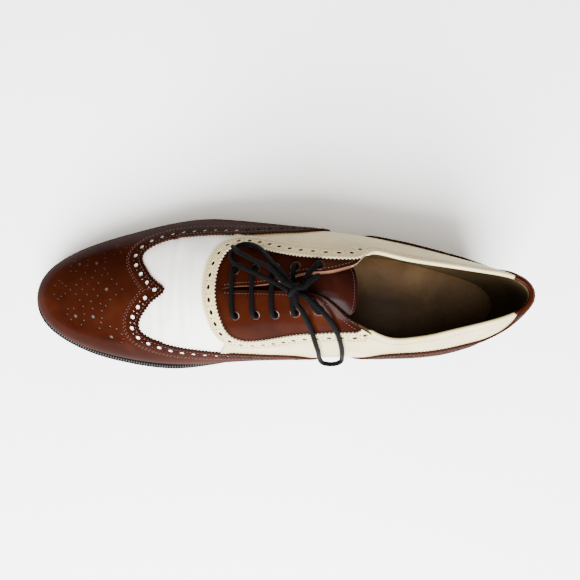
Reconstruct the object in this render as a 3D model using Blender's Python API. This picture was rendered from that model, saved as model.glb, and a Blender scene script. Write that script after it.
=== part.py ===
# Right wingtip oxford with a two-tone leather upper.
# Toe to -X, heel to +X, outer side to +Y, sole on z = 0.  Tables and functions are in millimetres.
import math

import bmesh
import bpy
import numpy as np
from mathutils import Matrix, Vector

for old in list(bpy.data.objects):
    bpy.data.objects.remove(old, do_unlink=True)

MM = 0.001

# Lengths along the shoe, measured forward from the back of the heel
LAST_LENGTH = 296.0
SOLE_BACK, SOLE_FRONT = 1.0, 300.0
FEATHER_BACK, FEATHER_FRONT = 4.5, 293.0
COLLAR_LEAN = 9.0
THROAT = 173.5
HEEL_BREAST = 76.0
WELT_BACK = 84.0
TREAD_BACK, TREAD_FRONT = 180.0, 210.0
HEEL_SEAT = 62.0

# Thicknesses and heights
GAP = 0.3
WALL = 2.0
OVERLAY_GAP = 0.6
TONGUE_GAP = 1.6
OVERLAY = 1.2
OUTSOLE = 5.0
WELT = 2.4
INSOLE = 3.0
TONGUE = 2.2
HEEL_RISE = 24.0
TOE_SPRING = 11.0
HEEL_TAPER = 1.5

# Lacing
LACE = 2.8
EYELET_HOLE = 4.4
EYELET_RIM = 6.2
EYELET_HEIGHT = 0.8
EYELET_STATIONS = (119.2, 131.8, 143.0, 154.0, 165.8)
EYELET_REACH_OUTER = (12.0, 11.4, 11.0, 10.8, 10.6)
EYELET_REACH_INNER = (11.3, 12.2, 13.2, 13.5, 14.0)

# The form of the upper.  lat and med are half-widths at the bulge; foot_lat and foot_med at the
# lower edge; bulge is its height over the sole, crown the ridge over the bulge; sole_* the outsole.
FORM_COLUMNS = ("station", "lat", "med", "foot_lat", "foot_med", "bulge", "crown",
                "ridge_y", "power_lat", "sole_lat", "sole_med", "power_med")
FORM = (
    (0, 0.0, 0.0, 0.0, 0.0, 21.0, 56.7, -0.5, 1.75, 0.0, 0.0, 1.75),
    (6, 13.2, 14.6, 11.8, 13.0, 21.0, 56.5, -0.5, 1.75, 13.8, 15.0, 1.75),
    (22, 20.8, 24.2, 18.8, 21.8, 21.3, 54.5, -0.6, 1.75, 21.8, 24.8, 1.85),
    (44, 27.0, 31.8, 24.4, 28.4, 22.0, 48.7, -0.6, 1.78, 27.8, 31.8, 2.10),
    (65, 32.4, 34.6, 28.8, 30.2, 22.0, 45.3, -0.5, 1.82, 32.2, 33.4, 2.30),
    (86, 36.6, 35.4, 31.6, 29.4, 22.0, 47.8, -0.7, 1.88, 34.8, 32.4, 2.30),
    (107, 40.2, 35.8, 33.8, 28.0, 21.0, 58.5, -0.8, 1.92, 37.2, 31.0, 2.05),
    (130, 43.8, 36.4, 37.2, 28.0, 19.5, 62.0, -0.8, 1.94, 40.8, 31.0, 1.96),
    (150, 47.2, 37.0, 41.2, 30.6, 17.5, 59.3, -0.2, 1.95, 45.4, 34.0, 1.95),
    (170, 50.2, 38.2, 45.2, 34.4, 15.5, 54.2, 0.3, 1.97, 50.4, 39.0, 1.97),
    (187, 51.4, 39.6, 47.0, 36.6, 14.3, 47.4, 0.6, 2.00, 53.2, 42.4, 2.00),
    (205, 49.8, 40.6, 45.8, 37.7, 13.3, 41.4, 0.8, 2.04, 52.4, 44.8, 2.04),
    (222, 46.0, 39.9, 42.6, 36.9, 12.5, 36.4, 0.8, 2.10, 49.2, 44.2, 2.10),
    (240, 40.6, 37.5, 37.5, 34.5, 11.5, 31.2, 0.5, 2.16, 43.8, 41.4, 2.16),
    (257, 34.8, 33.6, 31.8, 30.7, 10.5, 26.3, 0.2, 2.20, 38.0, 37.2, 2.20),
    (272, 28.2, 28.2, 25.5, 25.5, 9.5, 20.6, 0.0, 2.20, 30.8, 31.0, 2.20),
    (284, 20.6, 20.9, 18.4, 18.7, 8.8, 14.2, 0.0, 2.16, 23.2, 23.4, 2.16),
    (292, 12.3, 12.4, 10.8, 10.9, 8.3, 7.6, 0.0, 2.10, 14.4, 14.5, 2.10),
    (296, 0.0, 0.0, 0.0, 0.0, 8.0, 0.0, 0.0, 2.00, 0.0, 0.0, 2.00),
)

# Top line of collar and throat on each side, as an angle round the section: 0 at the bulge, 90 ridge
TOP_LINE_COLUMNS = ("station", "angle")
TOP_OUTER = (
    (0, 47.3), (12, 48.2), (22, 50.4), (36, 51.6), (50, 52.3), (62, 53.0), (72, 52.4), (80, 50.6),
    (86, 49.9), (91, 52.3), (94.5, 58.5), (97.5, 65.6), (104, 72.6), (112, 76.6), (120, 78.2),
    (128, 79.4), (134, 82.0), (141, 85.2), (148, 87.2), (158, 88.1), (166, 88.5), (173.5, 90.0),
)
TOP_INNER = (
    (0, 47.3), (12, 46.7), (22, 47.1), (36, 48.3), (46, 47.7), (56, 45.2), (66, 43.2), (73, 42.1),
    (79, 42.9), (84, 45.9), (90, 51.4), (96, 57.0), (102, 62.0), (107, 68.9), (112, 76.0),
    (117, 81.4), (122, 84.4), (128, 86.2), (138, 87.4), (150, 88.3), (162, 88.8), (173.5, 90.0),
)

# Edges of the overlays on each side, as a level: -1 at the lower edge, 0 at the bulge, 1 at the ridge
EDGE_COLUMNS = ("station", "level")
WING_TIP, WING_FRONT = 209.1, 226.0
WING_OUTER = (
    (107, -0.8), (109.3, -0.4), (111.8, -0.05), (115.5, 0.17), (120.5, 0.295), (126.8, 0.36),
    (138.8, 0.425), (152.7, 0.475), (169.2, 0.513), (186.7, 0.525), (207.6, 0.535), (213.1, 0.55),
    (216.6, 0.568), (220.6, 0.595), (223.6, 0.63), (225.2, 0.665), (226.0, 0.69),
)
WING_INNER = (
    (115, -0.8), (117.5, -0.4), (120.5, -0.1), (125.5, 0.07), (132, 0.145), (139.3, 0.18),
    (154.2, 0.222), (169.7, 0.28), (181.2, 0.328), (196.2, 0.397), (203.7, 0.432), (210.1, 0.47),
    (215.1, 0.505), (220.1, 0.548), (223.6, 0.585), (225.3, 0.622), (226.0, 0.69),
)
WING_PEAK = ((209.1, 1.0), (212.1, 0.965), (215, 0.93), (218.4, 0.89), (221.1, 0.838), (223.7, 0.782),
             (225.4, 0.730), (226.0, 0.69))
FOXING_OUTER = (
    (0, 0.52), (8.5, 0.52), (9.8, 0.45), (11, 0.33), (12.5, 0.22), (14.5, 0.16), (17.5, 0.14),
    (22, 0.15), (28, 0.18), (36, 0.21), (46, 0.225), (60, 0.235), (75, 0.225), (84, 0.19),
    (91, 0.08), (96, -0.2), (99, -0.8),
)
FOXING_INNER = (
    (0, 0.51), (8.5, 0.50), (9.8, 0.42), (11, 0.30), (12.5, 0.19), (14.5, 0.13), (17.5, 0.12),
    (22, 0.16), (28, 0.215), (36, 0.26), (46, 0.265), (60, 0.245), (75, 0.225), (84, 0.18),
    (91, 0.05), (96, -0.25), (99, -0.8),
)
FACING_OUTER = (
    (98.5, 0.712), (104, 0.735), (111, 0.745), (118, 0.745), (124, 0.74), (130.5, 0.735), (137, 0.72),
    (144, 0.70), (150, 0.678), (157, 0.66), (162.5, 0.65), (166, 0.655), (169.5, 0.676), (172, 0.708),
    (174, 0.762), (175.8, 0.822), (176.8, 0.88), (177.3, 1.0),
)
FACING_INNER = (
    (96, 0.60), (101, 0.588), (108, 0.577), (115, 0.57), (121, 0.56), (128, 0.555), (134.5, 0.54),
    (142, 0.515), (148.5, 0.495), (155, 0.48), (161, 0.48), (166.3, 0.51), (170.3, 0.565),
    (172.8, 0.635), (174.3, 0.71), (175.3, 0.765), (176.3, 0.835), (177.0, 0.91), (177.3, 1.0),
)


def spline(xs, ys):
    # Natural cubic curve through the rows of a table
    xs, ys = np.array(xs, float), np.array(ys, float)
    step, count = np.diff(xs), len(xs)
    system, right = np.eye(count), np.zeros(count)
    for i in range(1, count - 1):
        system[i, i - 1:i + 2] = step[i - 1], 2 * (step[i - 1] + step[i]), step[i]
        right[i] = 6 * ((ys[i + 1] - ys[i]) / step[i] - (ys[i] - ys[i - 1]) / step[i - 1])
    bend = np.linalg.solve(system, right)

    def value(x):
        i = int(np.clip(np.searchsorted(xs, x) - 1, 0, count - 2))
        h, near, far = step[i], xs[i + 1] - x, x - xs[i]
        return float((bend[i] * near ** 3 + bend[i + 1] * far ** 3) / (6 * h)
                     + (ys[i] / h - bend[i] * h / 6) * near
                     + (ys[i + 1] / h - bend[i + 1] * h / 6) * far)
    return value


def lines(rows, column):
    xs = [row[0] for row in rows]
    ys = [row[column] for row in rows]
    return lambda x: float(np.interp(x, xs, ys))


def sweep(station):
    # Stations crowd together at both rounded ends
    return math.acos(max(-1.0, min(1.0, 1 - 2 * station / LAST_LENGTH)))


def station_at(angle):
    return LAST_LENGTH * (1 - math.cos(angle)) / 2


FORM_CURVES = {name: spline([sweep(row[0]) for row in FORM], [row[i] for row in FORM])
               for i, name in enumerate(FORM_COLUMNS) if i}
TOP_CURVES = {side: spline([row[0] for row in rows], [row[1] for row in rows])
              for side, rows in ((1, TOP_OUTER), (-1, TOP_INNER))}


def form(name, station):
    return FORM_CURVES[name](sweep(station))


def smooth(u):
    u = max(0.0, min(1.0, u))
    return u * u * (3 - 2 * u)


def floor(reach):
    # Top of the outsole: level under the tread, up to the heel seat, up at the toe
    rise = HEEL_RISE * smooth((TREAD_BACK - reach) / (TREAD_BACK - HEEL_SEAT))
    spring = TOE_SPRING * (max(0.0, reach - TREAD_FRONT) / (SOLE_FRONT - TREAD_FRONT)) ** 1.8
    return OUTSOLE + rise + spring


def top_level(station, side):
    return 1.0 if station >= THROAT else min(TOP_CURVES[side](station), 90.0) / 90


def skin(station, side, level):
    # A point on the outside of the upper.  side: 1 outer, -1 inner side of the foot
    width = form("lat" if side > 0 else "med", station)
    foot = form("foot_lat" if side > 0 else "foot_med", station)
    bulge = form("bulge", station)
    base = floor(station) + GAP
    share = station / LAST_LENGTH
    if level < 0:
        tuck = level * level
        back, front = FEATHER_BACK * tuck, LAST_LENGTH - (LAST_LENGTH - FEATHER_FRONT) * tuck
        y = side * (width - (width - foot) * tuck)
        z = base + bulge * (1 + level)
    else:
        angle, ridge = math.radians(90 * level), form("ridge_y", station)
        bend = 2 / form("power_lat" if side > 0 else "power_med", station)
        back, front = COLLAR_LEAN * math.sin(angle) ** 2, LAST_LENGTH
        y = ridge + side * (width - side * ridge) * max(0.0, math.cos(angle)) ** bend
        z = base + bulge + form("crown", station) * max(0.0, math.sin(angle)) ** bend
    return Vector((-(back + (front - back) * share), y, z))


def along_form(angle, side, level):
    # The form runs on round the heel and the toe into the other side
    if angle < 0 or angle > math.pi:
        side = -side
    angle = abs(angle) if angle < math.pi else 2 * math.pi - angle
    return skin(station_at(angle), side, level)


def outward(station, side, level):
    angle = sweep(station)
    if angle > math.pi - 0.02:
        return Vector((-1.0, 0.0, 0.0))
    along = along_form(angle + 0.01, side, level) - along_form(angle - 0.01, side, level)
    if level > 0.985:
        across = skin(station, -1, 0.97) - skin(station, 1, 0.97)
    else:
        across = skin(station, side, level + 0.01) - skin(station, side, max(-1.0, level - 0.01))
        across *= side
    return along.cross(across).normalized()


def lifted(station, side, level, lift):
    return skin(station, side, level) + outward(station, side, level) * lift


def over(station, y, lift):
    # A point straight above the upper at a place in plan
    ridge = form("ridge_y", station)
    side = 1 if y >= ridge else -1
    width = abs(form("lat" if side > 0 else "med", station) - side * ridge)
    share = min(1.0, abs(y - ridge) / width)
    power = form("power_lat" if side > 0 else "power_med", station)
    height = floor(station) + GAP + form("bulge", station)
    height += form("crown", station) * (1 - share ** power) ** (1 / power)
    lean = COLLAR_LEAN * (1 - share ** 2) * (1 - station / LAST_LENGTH)
    return Vector((-(station + lean), y, height + lift))


def material(name, colour, roughness, metallic=0.0):
    made = bpy.data.materials.new(name)
    made.use_nodes = True
    shader = made.node_tree.nodes["Principled BSDF"]
    shader.inputs["Base Color"].default_value = (*colour, 1.0)
    shader.inputs["Roughness"].default_value = roughness
    shader.inputs["Metallic"].default_value = metallic
    return made


WHITE = material("white_calf", (0.72, 0.71, 0.68), 0.45)
BROWN = material("brown_calf", (0.075, 0.022, 0.012), 0.35)
TONGUE_BROWN = material("tongue_calf", (0.060, 0.016, 0.010), 0.40)
SOLE_BLACK = material("sole_leather", (0.018, 0.016, 0.015), 0.50)
WELT_BLACK = material("welt_leather", (0.020, 0.017, 0.016), 0.50)
HEEL_BLACK = material("heel_stack", (0.016, 0.014, 0.013), 0.45)
INSOLE_TAN = material("insole_leather", (0.30, 0.19, 0.10), 0.60)
LACE_BLACK = material("lace_cotton", (0.010, 0.010, 0.011), 0.80)
RIM_METAL = material("eyelet_metal", (0.25, 0.17, 0.12), 0.35, 0.9)


def add_grid(mesh, columns, rows, place):
    made = bmesh.ops.create_grid(mesh, x_segments=columns, y_segments=rows, size=1.0)["verts"]
    for vert in made:
        i = round((vert.co.x + 1) / 2 * columns)
        j = round((vert.co.y + 1) / 2 * rows)
        vert.co = place(i, j)


def finish(name, mesh, colour):
    data = bpy.data.meshes.new(name)
    mesh.to_mesh(data)
    mesh.free()
    data.materials.append(colour)
    data.shade_smooth()
    data.set_sharp_from_angle(angle=math.radians(40))
    made = bpy.data.objects.new(name, data)
    bpy.context.scene.collection.objects.link(made)
    return made


def weld(mesh):
    bmesh.ops.remove_doubles(mesh, verts=mesh.verts, dist=0.02)
    bmesh.ops.dissolve_degenerate(mesh, edges=mesh.edges, dist=0.005)
    bmesh.ops.recalc_face_normals(mesh, faces=mesh.faces)


def metres(mesh):
    bmesh.ops.scale(mesh, vec=(MM, MM, MM), verts=mesh.verts)


def leather(name, patches, colour, gap, thickness, inward=False):
    # Patches are grids of (station, side, level); the sheet is lifted off the form and thickened
    mesh = bmesh.new()
    for columns, rows, place in patches:
        add_grid(mesh, columns, rows, lambda i, j: lifted(*place(i, j), gap))
    weld(mesh)
    highest = max(mesh.faces, key=lambda face: face.calc_center_median().z)
    if highest.normal.z < 0:
        bmesh.ops.reverse_faces(mesh, faces=mesh.faces)
    metres(mesh)
    made = finish(name, mesh, colour)
    thick = made.modifiers.new("thickness", "SOLIDIFY")
    thick.thickness = thickness * MM
    thick.offset = -1 if inward else 1
    thick.use_even_offset = True
    thick.use_quality_normals = True
    return made


def both(columns, rows, place):
    return [(columns, rows, lambda i, j, s=side: place(i, j, s)) for side in (1, -1)]


def spread(first, last, count):
    a, b = sweep(first), sweep(last)
    return [station_at(a + (b - a) * i / count) for i in range(count + 1)]


# Upper: one sheet from the lower edge to the top line, the two sides meeting at heel and toe
UPPER_STATIONS = spread(0, 86, 10) + spread(86, THROAT, 14)[1:] + spread(THROAT, LAST_LENGTH, 15)[1:]
UPPER_LOW, UPPER_HIGH = 2, 6


def upper_place(i, j, side):
    station = UPPER_STATIONS[i]
    if j < UPPER_LOW:
        return station, side, j / UPPER_LOW - 1
    return station, side, (j - UPPER_LOW) / UPPER_HIGH * top_level(station, side)


upper = leather("upper", both(len(UPPER_STATIONS) - 1, UPPER_LOW + UPPER_HIGH, upper_place),
                WHITE, 0.0, WALL, inward=True)

# Overlays start just above the welt, and lower round the heel
hem_height = lines(((0, 1.2), (74, 1.2), (80, WELT + 1.0), (LAST_LENGTH, WELT + 1.0)), 1)


def hem(station):
    return hem_height(station) / form("bulge", station) - 1


def climb(bottom, top, j, low, high):
    # Rows from the hem to an edge, with one row at the bulge where the edge is well above it
    middle = min(0.0, bottom + 0.85 * (top - bottom))
    if j < low:
        return bottom + (middle - bottom) * j / low
    return middle + (top - middle) * (j - low) / high


wing_sides = {1: lines(WING_OUTER, 1), -1: lines(WING_INNER, 1)}
wing_peak = lines(WING_PEAK, 1)
WING_LOW, WING_MID, WING_HIGH = 2, 4, 4
WING_REAR_OUTER = ([107.0, 109.3, 111.8, 115.5, 120.5, 126.8] + spread(136, 214, 5)
                   + [219.0, 223.0, 225.2, WING_FRONT])
WING_REAR_INNER = ([115.0, 117.5, 120.5, 125.5, 132.0] + spread(141, 214, 5)
                   + [219.0, 223.0, 225.3, WING_FRONT])
WING_RIDGE = [WING_TIP, 212.1, 215.0, 218.4, 221.1, 223.7, 225.4, WING_FRONT]
WING_NOSE = spread(WING_FRONT, LAST_LENGTH, 9)


def wing_patches():
    patches = []
    for side, rear in ((1, WING_REAR_OUTER), (-1, WING_REAR_INNER)):
        def low(i, j, s=side, rows=rear):
            bottom = hem(rows[i])
            top = max(wing_sides[s](rows[i]), bottom + 0.12)
            return rows[i], s, climb(bottom, top, j, WING_LOW, WING_MID)

        def peak(i, j, s=side):
            station = WING_RIDGE[i]
            return station, s, wing_peak(station) + (1 - wing_peak(station)) * j / WING_HIGH

        def nose(i, j, s=side):
            station, joint = WING_NOSE[i], wing_peak(WING_FRONT)
            if j < WING_LOW + WING_MID:
                return station, s, climb(hem(station), joint, j, WING_LOW, WING_MID)
            return station, s, joint + (1 - joint) * (j - WING_LOW - WING_MID) / WING_HIGH

        patches.append((len(rear) - 1, WING_LOW + WING_MID, low))
        patches.append((len(WING_RIDGE) - 1, WING_HIGH, peak))
        patches.append((len(WING_NOSE) - 1, WING_LOW + WING_MID + WING_HIGH, nose))
    return patches


leather("wing_cap", wing_patches(), BROWN, OVERLAY_GAP, OVERLAY)

foxing_tops = {1: lines(FOXING_OUTER, 1), -1: lines(FOXING_INNER, 1)}
FOXING_STATIONS = ([0.0, 0.8, 3.2, 6.2, 9.0, 10.5, 12.0, 14.5, 18.0, 24.0, 32.0, 42.0, 54.0, 66.0, 78.0]
                   + [85.0, 90.0, 94.0, 96.5, 98.5])
FOXING_LOW, FOXING_HIGH = 2, 3


def foxing_place(i, j, side):
    station = FOXING_STATIONS[i]
    bottom = hem(station)
    top = max(foxing_tops[side](station), bottom + 0.1)
    return station, side, climb(bottom, top, j, FOXING_LOW, FOXING_HIGH)


leather("heel_foxing", both(len(FOXING_STATIONS) - 1, FOXING_LOW + FOXING_HIGH, foxing_place),
        BROWN, OVERLAY_GAP, OVERLAY)

facing_edges = {1: lines(FACING_OUTER, 1), -1: lines(FACING_INNER, 1)}
FACING_STATIONS = spread(98.5, 170, 9) + [172.0, THROAT, 175.0, 176.3, 177.0, 177.3]
FACING_ROWS = 4


def facing_place(i, j, side):
    station = FACING_STATIONS[i]
    outer = facing_edges[side](station)
    inner = top_level(station, side)
    return station, side, outer + (inner - outer) * j / FACING_ROWS


facing = leather("facing", both(len(FACING_STATIONS) - 1, FACING_ROWS, facing_place),
                 BROWN, OVERLAY_GAP, OVERLAY)

# Tongue: follows the form under the facing and stands out at its top
TONGUE_COLUMNS = ("station", "level")
TONGUE_SIDE = ((96.5, 0.82), (98.5, 0.76), (102.5, 0.70), (109.5, 0.655), (126, 0.63), (186, 0.64))
TONGUE_STATIONS = spread(96.5, 186, 9)
TONGUE_ROWS = 5
tongue_side = lines(TONGUE_SIDE, 1)


def tongue_place(i, j, side):
    station = TONGUE_STATIONS[i]
    edge = tongue_side(station)
    return station, side, edge + (1 - edge) * j / TONGUE_ROWS


leather("tongue", both(len(TONGUE_STATIONS) - 1, TONGUE_ROWS, tongue_place), TONGUE_BROWN,
        -(WALL + TONGUE_GAP), TONGUE, inward=True)


def outline(back, front, lat, med, inset=0.0, first=0.0, last=LAST_LENGTH, count=30):
    # Two matching edges of a plate, outer side and inner side
    edges = ([], [])
    for station in spread(first, last, count):
        reach = back + inset + (front - back - 2 * inset) * station / LAST_LENGTH
        edges[0].append((reach, max(0.0, form(lat, station) - inset)))
        edges[1].append((reach, -max(0.0, form(med, station) - inset)))
    return edges


def plate(name, edges, top, depth, colour, across=4, taper=0.0):
    mesh = bmesh.new()
    count = len(edges[0]) - 1

    def place(i, j):
        reach = edges[0][i][0] + (edges[1][i][0] - edges[0][i][0]) * j / across
        y = edges[0][i][1] + (edges[1][i][1] - edges[0][i][1]) * j / across
        return Vector((-reach, y, top(reach)))

    add_grid(mesh, count, across, place)
    weld(mesh)
    lower = bmesh.ops.extrude_face_region(mesh, geom=mesh.faces[:])["geom"]
    for vert in (item for item in lower if isinstance(item, bmesh.types.BMVert)):
        reach = -vert.co.x
        vert.co.z -= depth(reach)
        if taper:
            vert.co.x += -taper * (HEEL_BREAST / 2 - reach) / (HEEL_BREAST / 2)
            vert.co.y *= 1 - taper / 34
    bmesh.ops.recalc_face_normals(mesh, faces=mesh.faces)
    metres(mesh)
    return finish(name, mesh, colour)


plate("outsole", outline(SOLE_BACK, SOLE_FRONT, "sole_lat", "sole_med"), floor,
      lambda reach: OUTSOLE, SOLE_BLACK)

breast = (HEEL_BREAST - SOLE_BACK) * LAST_LENGTH / (SOLE_FRONT - SOLE_BACK)
plate("heel", outline(SOLE_BACK, SOLE_FRONT, "sole_lat", "sole_med", last=breast, count=16),
      lambda reach: floor(reach) - OUTSOLE - GAP, lambda reach: floor(reach) - OUTSOLE - GAP,
      HEEL_BLACK, taper=HEEL_TAPER)

plate("insole", outline(FEATHER_BACK, FEATHER_FRONT, "foot_lat", "foot_med", inset=3.2, count=22),
      lambda reach: floor(reach) + GAP + INSOLE, lambda reach: INSOLE, INSOLE_TAN, across=2)

# Welt: from one side of the heel round the toe to the other, between the upper and the sole's edge
def welt_edges():
    stations = spread(WELT_BACK, LAST_LENGTH, 26)
    trail = [(station, 1) for station in stations] + [(station, -1) for station in stations[-2::-1]]
    outer, inner = [], []
    for station, side in trail:
        reach = SOLE_BACK + (SOLE_FRONT - SOLE_BACK) * station / LAST_LENGTH
        outer.append((reach, side * max(0.0, form("sole_lat" if side > 0 else "sole_med", station))))
        wall = skin(station, side, (WELT + 0.6) / form("bulge", station) - 1)
        inner.append(Vector((-wall.x, wall.y)))
    cleared = []
    for i, point in enumerate(inner):
        ahead, behind = inner[min(i + 1, len(inner) - 1)], inner[max(i - 1, 0)]
        along = (ahead - behind).normalized()
        cleared.append(tuple(point + Vector((-along.y, along.x)) * 0.45))
    return outer, cleared


plate("welt", welt_edges(), lambda reach: floor(reach) + GAP + WELT, lambda reach: WELT,
      WELT_BLACK, across=1)

# Eyelets: a hole through upper and facing, and a ring on the facing
PUNCH = EYELET_HOLE / 2 + 0.4
RIM_LIFT = OVERLAY_GAP + OVERLAY + GAP
BAR_LIFT = RIM_LIFT + EYELET_HEIGHT + GAP + LACE / 2


def eyelet_level(number, side):
    station = EYELET_STATIONS[number - 1]
    reach = (EYELET_REACH_OUTER if side > 0 else EYELET_REACH_INNER)[number - 1]
    width = form("lat" if side > 0 else "med", station) - side * form("ridge_y", station)
    power = form("power_lat" if side > 0 else "power_med", station)
    return math.degrees(math.acos((reach / width) ** (power / 2))) / 90


def ring(inner, outer, height, segments=10):
    mesh = bmesh.new()
    bmesh.ops.create_circle(mesh, cap_ends=False, segments=segments, radius=inner)
    edge = bmesh.ops.extrude_edge_only(mesh, edges=mesh.edges[:])["geom"]
    wide = [item for item in edge if isinstance(item, bmesh.types.BMVert)]
    bmesh.ops.scale(mesh, vec=(outer / inner, outer / inner, 1), verts=wide)
    top = bmesh.ops.extrude_face_region(mesh, geom=mesh.faces[:])["geom"]
    bmesh.ops.translate(mesh, vec=(0, 0, height),
                        verts=[item for item in top if isinstance(item, bmesh.types.BMVert)])
    bmesh.ops.recalc_face_normals(mesh, faces=mesh.faces)
    return mesh


holes = bmesh.new()
for side, word in ((1, "outer"), (-1, "inner")):
    for number, station in enumerate(EYELET_STATIONS, 1):
        level = eyelet_level(number, side)
        seat, axis = skin(station, side, level), outward(station, side, level)
        turn = axis.to_track_quat("Z", "Y").to_matrix().to_4x4()
        bmesh.ops.create_cone(holes, cap_ends=True, segments=10, radius1=PUNCH, radius2=PUNCH, depth=9,
                              matrix=Matrix.Translation(seat) @ turn)
        mesh = ring(EYELET_HOLE / 2, EYELET_RIM / 2, EYELET_HEIGHT)
        seated = Matrix.Translation(seat + axis * RIM_LIFT) @ turn
        bmesh.ops.transform(mesh, matrix=seated, verts=mesh.verts)
        metres(mesh)
        finish(f"eyelet_{word}_{number}", mesh, RIM_METAL)
metres(holes)
cutter = finish("eyelet_cutter", holes, RIM_METAL)
cutter.hide_render = True
cutter.display_type = "WIRE"
for target in (upper, facing):
    cut = target.modifiers.new("eyelet_holes", "BOOLEAN")
    cut.operation = "DIFFERENCE"
    cut.solver = "EXACT"
    cut.object = cutter


def cord(name, points, diameter=LACE):
    curve = bpy.data.curves.new(name, "CURVE")
    curve.dimensions = "3D"
    curve.bevel_depth = diameter / 2 * MM
    curve.bevel_resolution = 2
    curve.use_fill_caps = True
    run = curve.splines.new("POLY")
    run.points.add(len(points) - 1)
    for point, place in zip(run.points, points):
        point.co = (*(place * MM), 1.0)
    curve.materials.append(LACE_BLACK)
    made = bpy.data.objects.new(name, curve)
    bpy.context.scene.collection.objects.link(made)
    return made


def smooth_run(points, count):
    # A rounded run through a few places
    spots = list(range(len(points)))
    curves = [spline(spots, [point[i] for point in points]) for i in range(3)]
    return [Vector([curve(k / count * spots[-1]) for curve in curves]) for k in range(count + 1)]


# Lace bars cross the throat from eyelet to eyelet; the first is drawn forward to the knot
BAR_DRAWN = (7.6, 0.0, 0.0, 0.0, 0.0)
BAR_RAISED = (3.0, 0.0, 0.0, 0.0, 0.0)
for number, station in enumerate(EYELET_STATIONS, 1):
    drawn, raised = BAR_DRAWN[number - 1], BAR_RAISED[number - 1]
    places = []
    for side in (1, -1):
        level = eyelet_level(number, side)
        arm = [lifted(station + drawn * share, side, level + (1 - level) * share,
                      BAR_LIFT + raised * share) for share in (0, 0.35, 0.7)]
        places += arm if side > 0 else arm[::-1]
    middle = (places[2] + places[3]) / 2
    cord(f"lace_bar_{number}", smooth_run(places[:3] + [middle] + places[3:], 9))

# The bow: plan places, as station and y, and lift above the upper
BOW_COLUMNS = ("station", "y", "lift")
KNOT = (133.0, -3.2, 10.5)
KNOT_SIZE = (4.8, 6.4, 3.3)
mesh = bmesh.new()
bmesh.ops.create_icosphere(mesh, subdivisions=2, radius=1.0)
bmesh.ops.scale(mesh, vec=KNOT_SIZE, verts=mesh.verts)
bmesh.ops.translate(mesh, vec=over(*KNOT), verts=mesh.verts)
metres(mesh)
finish("lace_knot", mesh, LACE_BLACK)

LOOP_OUTER = ((136.0, 1.8, 10.9), (141.5, 8.4, 10.6), (146.5, 14.2, 9.0), (151, 20.4, 6.8),
              (156.4, 25.0, 5.4), (162.4, 26.5, 5.0), (167.4, 24.5, 5.0), (169.6, 19.9, 5.2),
              (167.9, 15.2, 6.2), (163.8, 12.2, 7.6), (158.8, 9.6, 8.8), (154.2, 7.3, 9.2),
              (149.6, 4.9, 9.1), (144.6, 2.2, 9.2), (138.6, -1.6, 9.9))
LOOP_INNER = ((132.3, -9.7, 10.9), (129.4, -13.5, 10.6), (127, -18, 9.6), (124.4, -23.8, 8.3),
              (122.7, -29.9, 10.7), (121.3, -34.2, 15.1), (120.7, -36.5, 27.0), (119.1, -38.5, 19.5),
              (116.9, -39.9, 15.7), (113.2, -40.4, 13.2), (109.4, -40, 12.8), (107, -38.6, 14.8),
              (106.9, -36.9, 18.3), (107.6, -35.6, 18.5), (108, -33.4, 11.1), (109, -29.3, 8.0),
              (111.4, -23.2, 8.2), (115.6, -17.2, 9.6), (121.6, -11.2, 10.9), (127.9, -6.1, 11.6))
END_FRONT = ((137.9, 0.3, 13.4), (141.6, 4.4, 12.8), (147.7, 10.3, 11.4), (156.2, 14.9, 10.2),
             (161.6, 18.2, 10.4), (165.4, 20.4, 10.6), (169.4, 24.8, 9.2))
END_BACK = ((129.1, -2.6, 12.0), (126.9, -0.9, 12.0), (124.6, 1.1, 11.4), (122.2, 3.1, 10.6),
            (119.9, 5.1, 9.6))
for name, rows, count in (("lace_loop_outer", LOOP_OUTER, 21), ("lace_loop_inner", LOOP_INNER, 21),
                          ("lace_end_front", END_FRONT, 12), ("lace_end_back", END_BACK, 6)):
    cord(name, smooth_run([over(*row) for row in rows], count))

# Put the middle of the box, without the bow, over the origin
bpy.context.view_layer.update()
bow = ("lace_knot", "lace_loop", "lace_end")
bounds = [Vector(corner) for made in bpy.data.objects
          if not made.hide_render and not made.name.startswith(bow) for corner in made.bound_box]
shift = Vector(((min(p.x for p in bounds) + max(p.x for p in bounds)) / -2,
                (min(p.y for p in bounds) + max(p.y for p in bounds)) / -2, 0))
shoe = bpy.data.objects.new("shoe", None)
bpy.context.scene.collection.objects.link(shoe)
shoe.location = shift
for made in bpy.data.objects:
    if made is not shoe:
        made.parent = shoe
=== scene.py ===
import math

import bmesh
import bpy
import numpy as np
from mathutils import Matrix, Vector
from mathutils.kdtree import KDTree


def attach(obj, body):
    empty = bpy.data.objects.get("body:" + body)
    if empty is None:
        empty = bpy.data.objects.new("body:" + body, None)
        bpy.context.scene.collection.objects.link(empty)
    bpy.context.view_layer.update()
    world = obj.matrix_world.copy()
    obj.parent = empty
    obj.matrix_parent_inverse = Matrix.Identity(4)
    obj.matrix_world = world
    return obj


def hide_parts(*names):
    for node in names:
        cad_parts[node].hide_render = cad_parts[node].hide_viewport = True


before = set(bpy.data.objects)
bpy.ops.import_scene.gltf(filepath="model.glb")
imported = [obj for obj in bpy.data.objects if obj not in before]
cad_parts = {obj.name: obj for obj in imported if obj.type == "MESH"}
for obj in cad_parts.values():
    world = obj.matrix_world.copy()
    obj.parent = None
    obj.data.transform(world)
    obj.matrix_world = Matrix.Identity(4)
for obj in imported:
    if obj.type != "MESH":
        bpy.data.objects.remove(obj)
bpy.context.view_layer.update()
print("frame loaded:", len(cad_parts), "nodes")

# Camera straight above, a little to the inner side, turned onto the shoe
cameraSet = {"place": (-0.0059, -0.0486, 0.420), "aside": 0.0208, "ahead": 0.0546, "roll": 1.13,
             "lens": 38.0}

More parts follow.
